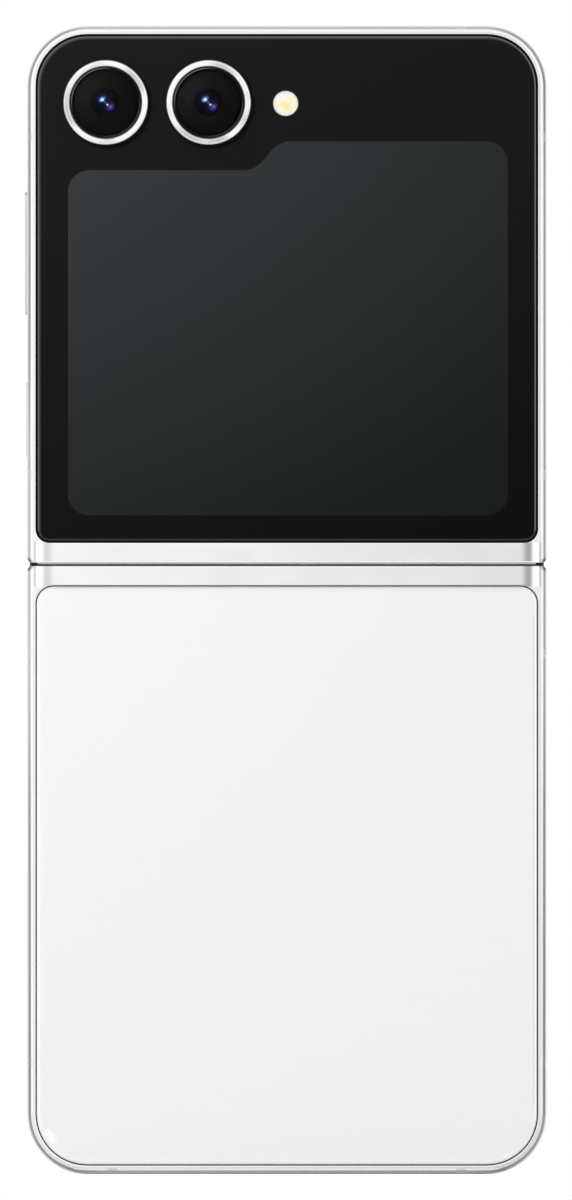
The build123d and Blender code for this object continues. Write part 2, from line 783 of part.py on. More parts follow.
def key_switches():
    """Switch strip behind the keys, with a dome under each foot and a rest for the volume key's fulcrum."""
    dome_top = key_back - key_foot_height - side_key_travel_room
    base = dome_top - dome_height
    ends = (side_key_centre - side_key_length / 2, volume_key_centre + volume_key_length / 2)
    half = switch_width / 2
    body = block((base - switch_base, base), (key_y - half, key_y + half), ends)
    for centre, length in ((side_key_centre, side_key_length), (volume_key_centre, volume_key_length)):
        for side in (-1, 1):
            body += bar(Pos(key_y, centre + side * length / 4) * Circle(dome_radius), base, dome_top)
    rest_top = key_back - fulcrum_radius - fulcrum_gap
    rest_z = (volume_key_centre - fulcrum_radius, volume_key_centre + fulcrum_radius)
    body += block((base, rest_top), (key_y - half, key_y + half), rest_z)
    return mirror(body, about=Plane.YZ)


def tray():
    """SIM tray: door flush with the wall, and a drawer with a recess for the card."""
    wall = width / 2
    inner = wall - tray_door_thickness
    door = bar(wall_slot(tray_door_length, tray_door_width, 0), inner, wall)
    door = fillet(door.faces().sort_by(Axis.X)[-1].edges(), tray_door_edge_radius)
    half = tray_thickness / 2
    drawer = block((wall - tray_depth, inner), (-half, half), (-tray_width / 2, tray_width / 2))
    card_x = (wall - tray_depth + tray_rim, inner - tray_rim)
    card_z = (tray_rim - tray_width / 2, tray_width / 2 - tray_rim)
    drawer -= block(card_x, (-half - clear, half - tray_floor), card_z)
    pin = Pos(0, tray_door_length / 2 - tray_pin_from_end) * Circle(tray_pin_radius)
    door -= bar(pin, inner + tray_floor, wall + clear)
    return Pos(0, key_y, tray_centre) * (door + drawer)


def tray_opening():
    """Opening in the wall for the tray's door and drawer."""
    wall = width / 2
    door = wall_slot(tray_door_length, tray_door_width, key_gap)
    cut = bar(door, wall - tray_door_thickness - key_gap, wall + clear)
    half = tray_thickness / 2 + key_gap
    side = tray_width / 2 + key_gap
    cut += block((cavity_half - clear, wall), (-half, half), (-side, side))
    return Pos(0, key_y, tray_centre) * cut


def tray_reader():
    """Metal channel that guides the tray, open towards the wall."""
    half = tray_thickness / 2 + key_gap
    side = tray_width / 2 + key_gap
    reach = side + reader_wall
    low = key_y - half - reader_skin
    wall = cavity_half - seat_gap
    body = block((reader_back, wall), (low, seat_y), (tray_centre - reach, tray_centre + reach))
    room_z = (tray_centre - side, tray_centre + side)
    return body - block((reader_back + reader_wall, wall + clear), (key_y - half, key_y + half), room_z)


# ---- inner pieces ----
def ring_pad(x, z, inner, outer, y_low, y_high):
    """Flat ring, such as a coil."""
    return disc(x, z, outer, y_low, y_high) - disc(x, z, inner, y_low - clear, y_high + clear)


def end_slot(x, length, high, z_low, z_high):
    """Round-ended slot along Z through an end wall, long in X, at the keys' height."""
    face = Pos(x, key_y) * RectangleRounded(length, high, high / 2 - 0.01)
    return extrude(Plane.XY.offset(z_low) * face, amount=z_high - z_low)


def usb_port():
    """Receptacle with an oval metal sleeve and its tongue, in the lower half's own frame."""
    end = lower_length - usb_set_back
    start = end - usb_depth
    floor = start + usb_floor
    sleeve = end_slot(0, usb_width, usb_height, start, end)
    sleeve -= end_slot(0, usb_width - 2 * usb_shell, usb_height - 2 * usb_shell, floor, end + clear)
    half, level = usb_tongue_width / 2, usb_tongue_thickness / 2
    return sleeve + block((-half, half), (key_y - level, key_y + level), (floor, end - usb_tongue_set_back))


def end_hole(x, length):
    """Microphone hole in the end wall of a half."""
    hole = Pos(x, key_y) * Circle(mic_radius)
    return extrude(Plane.XY.offset(length - frame_wall - clear / 2) * hole, amount=frame_wall + clear)


def bottom_openings():
    """Openings in the bottom wall: port, loudspeaker slots, microphone hole."""
    low, high = lower_length - frame_wall - clear / 2, lower_length + clear
    cut = end_slot(0, usb_width + 2 * usb_gap, usb_height + 2 * usb_gap, low, high)
    first = speaker_x - (speaker_slots - 1) * speaker_slot_pitch / 2
    for i in range(speaker_slots):
        cut += end_slot(first + i * speaker_slot_pitch, speaker_slot_length, speaker_slot_width, low, high)
    return cut + end_hole(mic_x, lower_length)


def ear_slit():
    """Slit at the top of the display's bezel and the duct that joins it to the earpiece's bay."""
    start = upper_length - ear_slit_from_end - ear_slit_width
    end = start + ear_slit_width
    duct_low = deck_y - ear_duct_width / 2
    half = ear_slit_length / 2
    slit = block((-half, half), (duct_low, bezel_y + clear), (start, end))
    duct_z = (upper_length - frame_wall - clear, end)
    return slit + block((half - ear_duct_width, half), (duct_low, deck_y), duct_z)


def corner_places(x, z, ends):
    """Places of a board's screws: in both corners of each end named, 0 for its near and 1 for its far end."""
    sides = (x[0] + board_screw_inset, x[1] - board_screw_inset)
    rows = (z[0] + board_screw_inset, z[1] - board_screw_inset)
    return [(side, rows[end]) for side in sides for end in ends]


def board_screws(places):
    """Screws that hold a board to the deck, with their heads towards the glass."""
    length = board_thickness + board_screw_reach
    head_y = screw_head_height - under_board - under_board_gap
    return [mirror(screw(x, head_y, z, length), about=Plane.XZ) for x, z in places]


def board_screw_holes(places):
    """Clearance for the shanks of those screws in a board and in the deck."""
    radius = screw_radius + screw_gap
    top = seat_y + board_screw_reach + screw_gap
    return [disc(x, z, radius, under_board - clear, top) for x, z in places]


def lower_pieces():
    """Everything that the lower frame carries, apart from the hinge."""
    inside = (outer_y - clear, deck_y)
    frame, bands = half_frame(lower_length, back_glass_start, back_glass_hinge_radius)
    frame -= pad((-cavity_half, cavity_half), inside, (shelf_end, sub_bay_start - bay_wall), cavity_radius)
    frame -= plate(outline(lower_length, frame_wall, sub_bay_start, sub_bay_radius), *inside)
    frame -= bottom_openings()
    cell_x = (cell_side_gap - cavity_half, cavity_half - cell_side_gap)
    cell_z = (shelf_end + cell_gap, sub_bay_start - bay_wall - cell_gap)
    cell = pad(cell_x, (glass_y + cell_to_glass, seat_y), cell_z, cell_radius)
    coil_y = (glass_y + coil_gap, glass_y + coil_gap + coil_thickness)
    coil = ring_pad(0, sum(cell_z) / 2, coil_inner_radius, coil_outer_radius, *coil_y)
    board_x = (board_side_gap - cavity_half, cavity_half - board_side_gap)
    board_z = (sub_bay_start + sub_board_start, lower_length - frame_wall - board_side_gap)
    board_radius = corner_radius - frame_wall - board_side_gap
    board = pad(board_x, (seat_y - board_thickness, seat_y), board_z, board_radius)
    room = usb_width / 2 + port_room
    board -= block((-room, room), (-width, width), (lower_length - usb_depth - port_room, lower_length))
    places = corner_places(board_x, board_z, (0,))
    holes = board_screw_holes(places)
    half = speaker_length / 2
    speaker_end = lower_length - frame_wall - speaker_gap
    speaker_y = (glass_y + speaker_to_glass, under_board)
    speaker_z = (speaker_end - speaker_depth, speaker_end)
    speaker = pad((speaker_x - half, speaker_x + half), speaker_y, speaker_z, speaker_radius)
    motor_x, motor_z = motor_from_side - width / 2, sub_bay_start + motor_start
    motor = disc(motor_x, motor_z, motor_radius, glass_y + motor_to_glass, under_board)
    return {
        "lower_frame": frame - holes,
        "lower_antenna_bands": bands,
        "lower_back_glass": glass_panel(lower_length, back_glass_start, back_glass_hinge_radius),
        "lower_display_panel": display_panel(lower_length),
        "lower_bezel": bezel(lower_length),
        "lower_support_wing": wing(),
        "lower_bracket_screws": [screw(x, y, z, base_screw_length) for x, y, z in base_screws()],
        "main_battery": cell,
        "charging_coil": coil,
        "sub_board": board - holes,
        "sub_board_screws": board_screws(places),
        "usb_c_port": usb_port(),
        "loudspeaker": speaker,
        "vibration_motor": motor,
    }


def boards_and_cans():
    """Main board of the upper half, its two shield cans, and the places of its screws."""
    x = (selfie_body / 2 + board_to_selfie, cavity_half - main_board_side_gap)
    end = upper_length - main_board_from_end
    z = (end - main_board_length, end)
    board = pad(x, (seat_y - board_thickness, seat_y), z, main_board_radius)
    can_y = (seat_y - board_thickness - can_height, seat_y - board_thickness)
    can_z = (z[0] + can_end_margin, z[1] - can_end_margin)
    low, high = x[0] + can_side_margin, x[1] - can_side_margin
    middle = (low + high) / 2
    first = pad((low, middle - can_spacing / 2), can_y, can_z, can_radius)
    second = pad((middle + can_spacing / 2, high), can_y, can_z, can_radius)
    return board, [first, second], corner_places(x, z, (0, 1)), z[0]


def upper_pieces():
    """Everything that the upper frame carries, apart from the hinge."""
    inside = (outer_y - clear, deck_y)
    display_back = glass_y + cover_display_thickness
    board, cans, places, board_start = boards_and_cans()
    holes = board_screw_holes(places)
    frame, bands = half_frame(upper_length, cover_glass_start, cover_glass_hinge_radius)
    frame -= plate(outline(upper_length, frame_wall, shelf_end, cavity_radius), *inside)
    recess = display_back + cover_display_back_gap
    frame -= plate(cover_display_face(cover_display_gap), glass_y - clear, recess)
    frame -= key_opening(volume_key_centre, volume_key_length)
    frame -= key_opening(side_key_centre, side_key_length)
    frame -= tray_opening()
    frame -= end_hole(top_mic_x, upper_length)
    frame -= disc(0, selfie_z, selfie_radius + selfie_gap, deck_y - clear, panel_y + clear)
    slit = ear_slit()
    panel = display_panel(upper_length)
    panel -= disc(0, selfie_z, selfie_hole_radius, panel_y - clear, display_y + clear)
    cell_x = (cell_to_keys - cavity_half, reader_back - cell_to_reader)
    cell_z = (shelf_end + cell_gap, board_start - cell_to_board)
    cell = pad(cell_x, (display_back + cell_to_display, seat_y), cell_z, cell_radius)
    flash_lens, flash_module = flash()
    half = selfie_body / 2
    selfie_z_limits = (selfie_z - half, selfie_z + half)
    selfie = block((-half, half), (seat_y - selfie_body_depth, seat_y), selfie_z_limits)
    selfie += disc(0, selfie_z, selfie_radius, seat_y, display_y - selfie_recess)
    ear_x = half + earpiece_to_selfie
    ear_end = upper_length - frame_wall - earpiece_gap
    ear_z = (ear_end - earpiece_width, ear_end)
    earpiece = block((ear_x, ear_x + earpiece_length), (seat_y - earpiece_depth, seat_y), ear_z)
    return {
        "upper_frame": frame - slit - holes,
        "upper_antenna_bands": bands,
        "cover_glass": upper_cover_glass(),
        "cover_display": plate(cover_display_face(), glass_y, display_back),
        "upper_display_panel": panel,
        "upper_bezel": bezel(upper_length) - slit,
        "upper_support_wing": wing(),
        "upper_bracket_screws": [screw(x, y, z, base_screw_length) for x, y, z in base_screws()],
        "camera_rings": [camera_ring(x) for x in camera_x],
        "camera_windows": [lens_window(x) for x in camera_x],
        "camera_modules": [camera_module(x) for x in camera_x],
        "flash_lens": flash_lens,
        "flash_module": flash_module,
        "upper_battery": cell,
        "main_board": board - holes,
        "main_board_screws": board_screws(places),
        "shield_cans": cans,
        "selfie_camera": selfie,
        "earpiece": earpiece,
        "key_switches": key_switches(),
        "volume_key": volume_key(),
        "side_key": key(side_key_centre, side_key_length, side_key_proud, key_foot_height),
        "sim_tray": tray(),
        "tray_reader": tray_reader(),
    }


def spine_pieces():
    """The hinge: spine, housings, pinions, and the brackets of both halves, in the hinge frame."""
    zs, phases, lower_phase, upper_phase = gear_train()
    pieces = {
        "spine_cover": spine_cover(),
        "spine_end_caps": end_caps(),
        "hinge_housings": housings(zs),
        "housing_screws": [screw(x, y, z, tab_screw_length) for x, y, z in tab_screws()],
        "fold_display_strip": fold_strip(),
        "lower_hinge_brackets": brackets(-1, lower_phase),
        "upper_hinge_brackets": brackets(1, upper_phase),
    }
    for number, (z, phase) in enumerate(zip(zs, phases), start=1):
        pieces[f"sync_pinion_{number}"] = pinion(z, phase)
    return pieces


def save(name, pieces, placed):
    """Write one sub-part, which may be several like solids, in its place in the phone."""
    solids = [placed(piece) for piece in pieces] if isinstance(pieces, list) else [placed(pieces)]
    shape = Compound(children=solids) if len(solids) > 1 else solids[0]
    export_step(shape, f"parts/{name}.step")


def main():
    os.makedirs("parts", exist_ok=True)
    for name, piece in lower_pieces().items():
        save(name, piece, in_lower)
    for name, piece in {**spine_pieces(), **upper_pieces()}.items():
        save(name, piece, at_hinge)


if __name__ == "__main__":
    main()
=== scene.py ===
"""Dresses a folding phone: metal, glass, lenses, folding display and its studio."""

import math
from types import SimpleNamespace

import bmesh
import bpy
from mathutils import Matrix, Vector


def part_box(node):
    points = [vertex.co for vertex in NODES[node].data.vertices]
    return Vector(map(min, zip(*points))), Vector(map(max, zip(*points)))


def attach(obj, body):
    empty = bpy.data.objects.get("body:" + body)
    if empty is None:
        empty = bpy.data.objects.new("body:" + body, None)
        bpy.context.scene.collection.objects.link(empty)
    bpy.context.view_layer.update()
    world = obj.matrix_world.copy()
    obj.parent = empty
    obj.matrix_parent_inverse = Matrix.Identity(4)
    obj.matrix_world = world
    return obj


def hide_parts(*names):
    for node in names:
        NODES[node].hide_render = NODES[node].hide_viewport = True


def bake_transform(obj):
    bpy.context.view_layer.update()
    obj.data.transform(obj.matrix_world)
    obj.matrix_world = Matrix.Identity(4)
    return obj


bl_info = {
    "name": "Flip Phone Finish",
    "version": (1, 0, 0),
    "blender": (4, 5, 0),
    "location": "View3D > Sidebar > Flip Phone",
    "description": "Finishes, lenses, folding display and studio for a flip phone",
    "category": "Object",
}

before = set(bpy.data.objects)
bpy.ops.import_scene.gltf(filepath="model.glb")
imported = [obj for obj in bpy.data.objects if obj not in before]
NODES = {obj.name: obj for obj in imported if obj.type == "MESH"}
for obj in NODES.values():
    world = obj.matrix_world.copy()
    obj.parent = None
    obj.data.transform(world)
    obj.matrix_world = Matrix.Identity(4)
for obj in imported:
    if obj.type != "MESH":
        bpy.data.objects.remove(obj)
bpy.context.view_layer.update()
MM = 0.001

# Places in mm, as the solids have them.
OUTER_Y = -3.45
DISPLAY_Y = 3.45
HINGE_Z = 84.42
LENS_X = (-25.1, -10.84)
LENS_Z = 148.4
FLASH = (-0.16, 148.25)
SELFIE_Z = 153.02

# Corner radii of the outer glasses in mm, away from the hinge and beside it, and the radius of their bend.
GLASS_CORNER = 7.05
LOWER_HINGE_CORNER = 2.4
UPPER_HINGE_CORNER = 1.8
GLASS_BEND = 0.45

# Middle of all openings in y (mm), half the height of a loudspeaker slot, and the sides of the outermost one.
OPENING_Y = -0.2
SLOT_HALF = 0.5
SLOT = (22.05, 23.75, OPENING_Y - SLOT_HALF, OPENING_Y + SLOT_HALF)

# Distances in metres within which points are one: in a CAD node, and in a piece made here.
CAD_DOUBLE = 1e-6
OWN_DOUBLE = 1e-7
# Smallest corner radius in mm that is left where an outline is moved in.
LEAST_RADIUS = 0.01
# Values between which a noise mostly lies.
CLOUD_LOW, CLOUD_HIGH = 0.3, 0.7


# ---------------------------------------------------------------- colours and nodes


def srgb(code):
    """Linear colour of an sRGB hex value."""
    parts = [int(code[i : i + 2], 16) / 255 for i in (1, 3, 5)]
    return tuple(c / 12.92 if c <= 0.04045 else ((c + 0.055) / 1.055) ** 2.4 for c in parts) + (1.0,)


def dimmed(colour, share=1.0):
    """Four numbers of a colour setting, darker by a share."""
    return tuple(c * share for c in colour[:3]) + (1.0,)


def add(tree, kind, sockets=None, **settings):
    """Adds a node. A socket gets a number, a colour or its hex value, or is linked to another socket."""
    node = tree.nodes.new(kind)
    for name, value in settings.items():
        setattr(node, name, value)
    for key, value in (sockets or {}).items():
        if isinstance(value, bpy.types.NodeSocket):
            tree.links.new(value, node.inputs[key])
        else:
            node.inputs[key].default_value = srgb(value) if isinstance(value, str) else value
    return node


def feed(shader, **sockets):
    """Links sockets of a shader, such as Base_Color."""
    for name, value in sockets.items():
        shader.id_data.links.new(value, shader.inputs[name.replace("_", " ")])


def per_mm(size):
    """Texture scale whose features are about size mm."""
    return 1 / (size * MM)


def overlap(tree, *shares, course="LINEAR"):
    """Product of shares. A share is a socket or a range: a coordinate and the two places (mm) between which
    it goes from 0 to 1, or from a third number to a fourth."""
    product = None
    for share in shares:
        if isinstance(share, tuple):
            value, start, end, *levels = share
            sockets = {0: value, 1: start * MM, 2: end * MM, **dict(zip((3, 4), levels))}
            share = add(tree, "ShaderNodeMapRange", sockets, interpolation_type=course).outputs[0]
        if product is not None:
            share = add(tree, "ShaderNodeMath", {0: product, 1: share}, operation="MULTIPLY").outputs[0]
        product = share
    return product


def between(tree, value, low, high, soft):
    """Share that is 1 from low to high (mm), and falls to 0 over soft mm on each side."""
    return overlap(tree, (value, low - soft, low), (value, high + soft, high))


def laid_over(tree, colour, cover, *shares):
    """Colour with another laid over it by the product of shares."""
    layers = {0: overlap(tree, *shares), 6: colour, 7: cover}
    return add(tree, "ShaderNodeMix", layers, data_type="RGBA").outputs[2]


def apart(tree, value, middle=0.0):
    """Distance of a coordinate from a middle (mm)."""
    moved = add(tree, "ShaderNodeMath", {0: value, 1: -middle * MM}, operation="ADD").outputs[0]
    return add(tree, "ShaderNodeMath", {0: moved}, operation="ABSOLUTE").outputs[0]


def offset(tree, place, x, z):
    """Way of a place from the line along Y through x, z (mm), and its length."""
    sockets = {"Vector": place, "Location": (-x * MM, 0, -z * MM), "Scale": (1, 0, 1)}
    way = add(tree, "ShaderNodeMapping", sockets).outputs[0]
    return way, add(tree, "ShaderNodeVectorMath", {0: way}, operation="LENGTH").outputs["Value"]


def spot(tree, place, x, z, radius, core, strength=1.0):
    """Share of a soft round spot about x, z: strength within core, and 0 from radius on (mm)."""
    away = offset(tree, place, x, z)[1]
    return overlap(tree, (away, radius, core, 0.0, strength), course="SMOOTHSTEP")


def clouds(tree, place, grain, detail, rough):
    """Noise whose clouds are about grain mm, and the roughness that follows it from one value to another."""
    pattern = {"Vector": place, "Scale": per_mm(grain), "Detail": detail}
    noise = add(tree, "ShaderNodeTexNoise", pattern).outputs[0]
    levels = {0: noise, 1: CLOUD_LOW, 2: CLOUD_HIGH, 3: rough[0], 4: rough[1]}
    return noise, add(tree, "ShaderNodeMapRange", levels).outputs[0]


def shaded(tree, place, corners, x, z):
    """Colour that runs between the corners of the area x, z (mm): the two upper ones, then the lower ones."""
    parts = add(tree, "ShaderNodeSeparateXYZ", {0: place}).outputs
    top, low = (laid_over(tree, left, right, (parts[0], *x)) for left, right in (corners[:2], corners[2:]))
    return laid_over(tree, low, top, (parts[2], *z))


def ramp(tree, share, stops):
    """Colour that runs through (place, colour) stops in rising order."""
    node = add(tree, "ShaderNodeValToRGB", {0: share})
    elements = node.color_ramp.elements
    elements[0].position, elements[0].color = stops[0]
    elements[1].position, elements[1].color = stops[-1]
    for place, colour in stops[1:-1]:
        elements.new(place).color = colour
    return node.outputs[0]


# ---------------------------------------------------------------- materials


def new_material(name, **shader):
    """Material with its shader and output; gives back the material, tree, shader and Object coordinates."""
    material = bpy.data.materials.new(name)
    material.use_nodes = True
    tree = material.node_tree
    tree.nodes.clear()
    given = {key.replace("_", " "): value for key, value in shader.items()}
    bsdf = add(tree, "ShaderNodeBsdfPrincipled", given)
    add(tree, "ShaderNodeOutputMaterial", {"Surface": bsdf.outputs[0]})
    place = add(tree, "ShaderNodeTexCoord").outputs["Object"]
    return material, tree, bsdf, place


def grained(name, light, dark, grain, rough, bump=0.0, stretch=(1, 1, 1), **shader):
    """Material whose colour and roughness vary over a noise of grain mm, which is its bump (mm) too."""
    material, tree, bsdf, place = new_material(name, **shader)
    place = add(tree, "ShaderNodeMapping", {"Vector": place, "Scale": stretch}).outputs[0]
    noise, even = clouds(tree, place, grain, 3.0, rough)
    feed(bsdf, Base_Color=laid_over(tree, light, dark, noise), Roughness=even)
    if bump:
        relief = add(tree, "ShaderNodeBump", {"Height": noise, "Distance": bump * MM, "Strength": 1.0})
        feed(bsdf, Normal=relief.outputs[0])
    return material


def metallic(name, light, dark, grain, rough, bump=0.0, stretch=(1, 1, 1)):
    """Grained material of bare metal."""
    return grained(name, light, dark, grain, rough, bump, stretch, Metallic=1.0)


def repainted(material, change):
    """Changes the colour of a material to what change(tree, colour) makes of it."""
    shader = material.node_tree.nodes["Principled BSDF"]
    colour = shader.inputs["Base Color"].links[0].from_socket
    feed(shader, Base_Color=change(material.node_tree, colour))
    return material


def dress(material, *nodes):
    """Gives a material to whole nodes."""
    for node in nodes:
        slots = NODES[node].data.materials
        slots.clear()
        slots.append(material)


# ---------------------------------------------------------------- meshes


def placed(name, data):
    """Object at the origin with its data, in the scene."""
    piece = bpy.data.objects.new(name, data)
    bpy.context.scene.collection.objects.link(piece)
    return piece


def mesh_piece(name, points, faces, *materials, smooth=None, indices=None):
    """Object at the origin from points in mm."""
    mesh = bpy.data.meshes.new(name)
    mesh.from_pydata([Vector(p) * MM for p in points], [], faces)
    mesh.validate()
    for material in materials:
        mesh.materials.append(material)
    if indices:
        mesh.polygons.foreach_set("material_index", indices)
    if smooth is not None:
        mesh.shade_smooth()
        mesh.set_sharp_from_angle(angle=math.radians(smooth))
    return placed(name, mesh)


def plain_mesh(source, name, material):
    """Mesh of an object with its modifiers applied, all in one material."""
    mesh = bpy.data.meshes.new_from_object(source.evaluated_get(bpy.context.evaluated_depsgraph_get()))
    mesh.name = name
    # The modifiers can leave an empty slot before the material's own.
    mesh.materials.clear()
    mesh.materials.append(material)
    mesh.polygons.foreach_set("material_index", [0] * len(mesh.polygons))
    return mesh


def joined(mesh, distance):
    """Mesh opened for editing, with its doubles merged."""
    bm = bmesh.new()
    bm.from_mesh(mesh)
    bmesh.ops.remove_doubles(bm, verts=bm.verts, dist=distance)
    return bm


def face_outwards(piece):
    """Merges doubles and turns the faces of a closed mesh outwards."""
    bm = joined(piece.data, OWN_DOUBLE)
    bmesh.ops.recalc_face_normals(bm, faces=bm.faces)
    bm.to_mesh(piece.data)
    bm.free()
    return piece


def rounded(x0, x1, z0, z1, low, high, inset=0.0, steps=12):
    """Outline of a rectangle with one corner radius below and one above, moved in by inset."""
    corners = ((x1, z0, low, -90), (x1, z1, high, 0), (x0, z1, high, 90), (x0, z0, low, 180))
    points = []
    for x, z, radius, start in corners:
        centre_x = x - math.copysign(radius, x - (x0 + x1) / 2)
        centre_z = z - math.copysign(radius, z - (z0 + z1) / 2)
        r = max(radius - inset, LEAST_RADIUS)
        for step in range(steps + 1):
            angle = math.radians(start + 90 * step / steps)
            points.append((centre_x + r * math.cos(angle), centre_z + r * math.sin(angle)))
    return points


def flat_outline(corners, radii, steps=10):
    """Outline through corners (x, z), each rounded with its radius."""
    points = []
    count = len(corners)
    for i, radius in enumerate(radii):
        before, here, after = (Vector(corners[(i + k) % count]) for k in (-1, 0, 1))
        a, b = (before - here).normalized(), (after - here).normalized()
        half = a.angle(b) / 2
        reach = radius / math.tan(half)
        centre = here + (a + b).normalized() * radius / math.sin(half)
        start, end = here + a * reach - centre, here + b * reach - centre
        turn = start.angle_signed(end)
        for step in range(steps + 1):
            angle = -turn * step / steps
            c, s = math.cos(angle), math.sin(angle)
            points.append(centre + Vector((start.x * c - start.y * s, start.x * s + start.y * c)))
    return [tuple(p) for p in points]


def ring_faces(rings, count, closed=True):
    """Quads between rings of count points each."""
    faces = []
    for a in range(rings if closed else rings - 1):
        b = (a + 1) % rings
        for i in range(count):
            j = (i + 1) % count
            faces.append((a * count + i, a * count + j, b * count + j, b * count + i))
    return faces


def turned(name, profile, centres, *materials, segments=72, smooth=40, bands=None):
    """Pieces turned round lines along Y: profile is (radius, y) from front to back, closed at radius 0."""
    points, faces, indices = [], [], []
    for cx, cz in centres:
        rings = []
        for radius, y in profile:
            if radius == 0:
                rings.append([len(points)])
                points.append((cx, y, cz))
            else:
                rings.append(list(range(len(points), len(points) + segments)))
                for i in range(segments):
                    a = math.tau * i / segments
                    points.append((cx + radius * math.cos(a), y, cz + radius * math.sin(a)))
        for k, (a, b) in enumerate(zip(rings, rings[1:])):
            for i in range(segments):
                j = (i + 1) % segments
                face = [a[i % len(a)], a[j % len(a)], b[j % len(b)], b[i % len(b)]]
                faces.append(list(dict.fromkeys(face)))
                indices.append(bands[k] if bands else 0)
    return face_outwards(mesh_piece(name, points, faces, *materials, smooth=smooth, indices=indices))


# ---------------------------------------------------------------- what repeats


INPUT_KINDS = {
    float: "NodeSocketFloat",
    int: "NodeSocketInt",
    Vector: "NodeSocketVector",
    bpy.types.Material: "NodeSocketMaterial",
}
NOWHERE = (0, 0, 0)
UPRIGHT = (math.pi / 2, 0, 0)


def arrayed(
    name, body, shape, material, place, sizes, count=1, step=NOWHERE, rows=1, row_step=NOWHERE, turn=NOWHERE
):
    """Piece of like shapes in one or more rows, laid out by Geometry Nodes and made plain. Lengths are in mm,
    and shape(tree, sizes) adds the nodes of one copy."""
    given = {key: value * MM for key, value in sizes.items()}
    given.update(Count=count, Step=Vector(step) * MM, Rows=rows, Row_Step=Vector(row_step) * MM)
    given.update(Turn=Vector(turn), Place=Vector(place) * MM, Material=material)
    tree = bpy.data.node_groups.new(name, "GeometryNodeTree")
    keys = {}
    for key, value in given.items():
        kind = INPUT_KINDS[type(value)]
        keys[key] = tree.interface.new_socket(key, in_out="INPUT", socket_type=kind).identifier
    tree.interface.new_socket("Geometry", in_out="OUTPUT", socket_type="NodeSocketGeometry")
    source = add(tree, "NodeGroupInput").outputs
    one = shape(tree, source)
    for number, way in (("Count", "Step"), ("Rows", "Row_Step")):
        line = add(tree, "GeometryNodeMeshLine", {"Count": source[number], "Offset": source[way]}).outputs[0]
        one = add(tree, "GeometryNodeInstanceOnPoints", {"Points": line, "Instance": one}).outputs[0]
    plain = add(tree, "GeometryNodeRealizeInstances", {0: one}).outputs[0]
    moves = {"Geometry": plain, "Rotation": source["Turn"], "Translation": source["Place"]}
    moved = add(tree, "GeometryNodeTransform", moves).outputs[0]
    done = add(tree, "GeometryNodeSetMaterial", {"Geometry": moved, "Material": source["Material"]})
    add(tree, "NodeGroupOutput", {"Geometry": done.outputs[0]})
    maker = placed(name + "_maker", bpy.data.meshes.new(name + "_maker"))
    modifier = maker.modifiers.new("layout", "NODES")
    modifier.node_group = tree
    for key, value in given.items():
        modifier[keys[key]] = value
    mesh = plain_mesh(maker, name, material)
    bpy.data.objects.remove(maker)
    piece = placed(name, mesh)
    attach(piece, body)
    return piece


def woven(tree, size):
    """Wire mesh of Length by Height in XY, of wires with the radius Wire that lie Pitch apart."""
    across, up = size["Length"], size["Height"]
    section = add(tree, "GeometryNodeCurvePrimitiveCircle", {"Resolution": 6, "Radius": size["Wire"]})
    net = add(tree, "GeometryNodeJoinGeometry")
    for run, row, length, width in ((0, 1, across, up), (1, 0, up, across)):
        ends = []
        for share in (-0.5, 0.5):
            far = add(tree, "ShaderNodeMath", {0: length, 1: share}, operation="MULTIPLY").outputs[0]
            ends.append(add(tree, "ShaderNodeCombineXYZ", {run: far}).outputs[0])
        line = add(tree, "GeometryNodeCurvePrimitiveLine", {"Start": ends[0], "End": ends[1]}).outputs[0]
        shape = {"Curve": line, "Profile Curve": section.outputs[0], "Fill Caps": True}
        wire = add(tree, "GeometryNodeCurveToMesh", shape).outputs[0]
        gaps = add(tree, "ShaderNodeMath", {0: width, 1: size["Pitch"]}, operation="DIVIDE").outputs[0]
        whole = add(tree, "ShaderNodeMath", {0: gaps}, operation="ROUND").outputs[0]
        count = add(tree, "ShaderNodeMath", {0: whole, 1: 1.0}, operation="ADD").outputs[0]
        side = add(tree, "ShaderNodeMath", {0: width, 1: -0.5}, operation="MULTIPLY").outputs[0]
        first = add(tree, "ShaderNodeCombineXYZ", {row: side}).outputs[0]
        pitch = add(tree, "ShaderNodeCombineXYZ", {row: size["Pitch"]}).outputs[0]
        places = {"Count": count, "Start Location": first, "Offset": pitch}
        points = add(tree, "GeometryNodeMeshLine", places).outputs[0]
        wires = add(tree, "GeometryNodeInstanceOnPoints", {"Points": points, "Instance": wire}).outputs[0]
        tree.links.new(wires, net.inputs[0])
    return net.outputs[0]


def bar(tree, size):
    """Plain bar of Length, Height and Depth."""
    sides = {0: size["Length"], 1: size["Height"], 2: size["Depth"]}
    form = add(tree, "ShaderNodeCombineXYZ", sides).outputs[0]
    return add(tree, "GeometryNodeMeshCube", {"Size": form}).outputs[0]


def winding(tree, size):
    """Flat spiral in XY from the radius Inner to Outer, of wire with the radius Wire and Pitch apart."""
    span = add(tree, "ShaderNodeMath", {0: size["Outer"], 1: size["Inner"]}, operation="SUBTRACT").outputs[0]
    turns = add(tree, "ShaderNodeMath", {0: span, 1: size["Pitch"]}, operation="DIVIDE").outputs[0]
    course = {"Resolution": 72, "Rotations": turns, "Height": 0.0}
    course.update({"Start Radius": size["Inner"], "End Radius": size["Outer"]})
    spiral = add(tree, "GeometryNodeCurveSpiral", course).outputs[0]
    section = add(tree, "GeometryNodeCurvePrimitiveCircle", {"Resolution": 8, "Radius": size["Wire"]})
    shape = {"Curve": spiral, "Profile Curve": section.outputs[0], "Fill Caps": True}
    return add(tree, "GeometryNodeCurveToMesh", shape).outputs[0]


# ---------------------------------------------------------------- settings


def colour_setting(name, description, code):
    """Setting for a colour."""
    start = srgb(code)[:3]
    return bpy.props.FloatVectorProperty(
        name=name, description=description, subtype="COLOR", size=3, min=0, max=1, default=start
    )


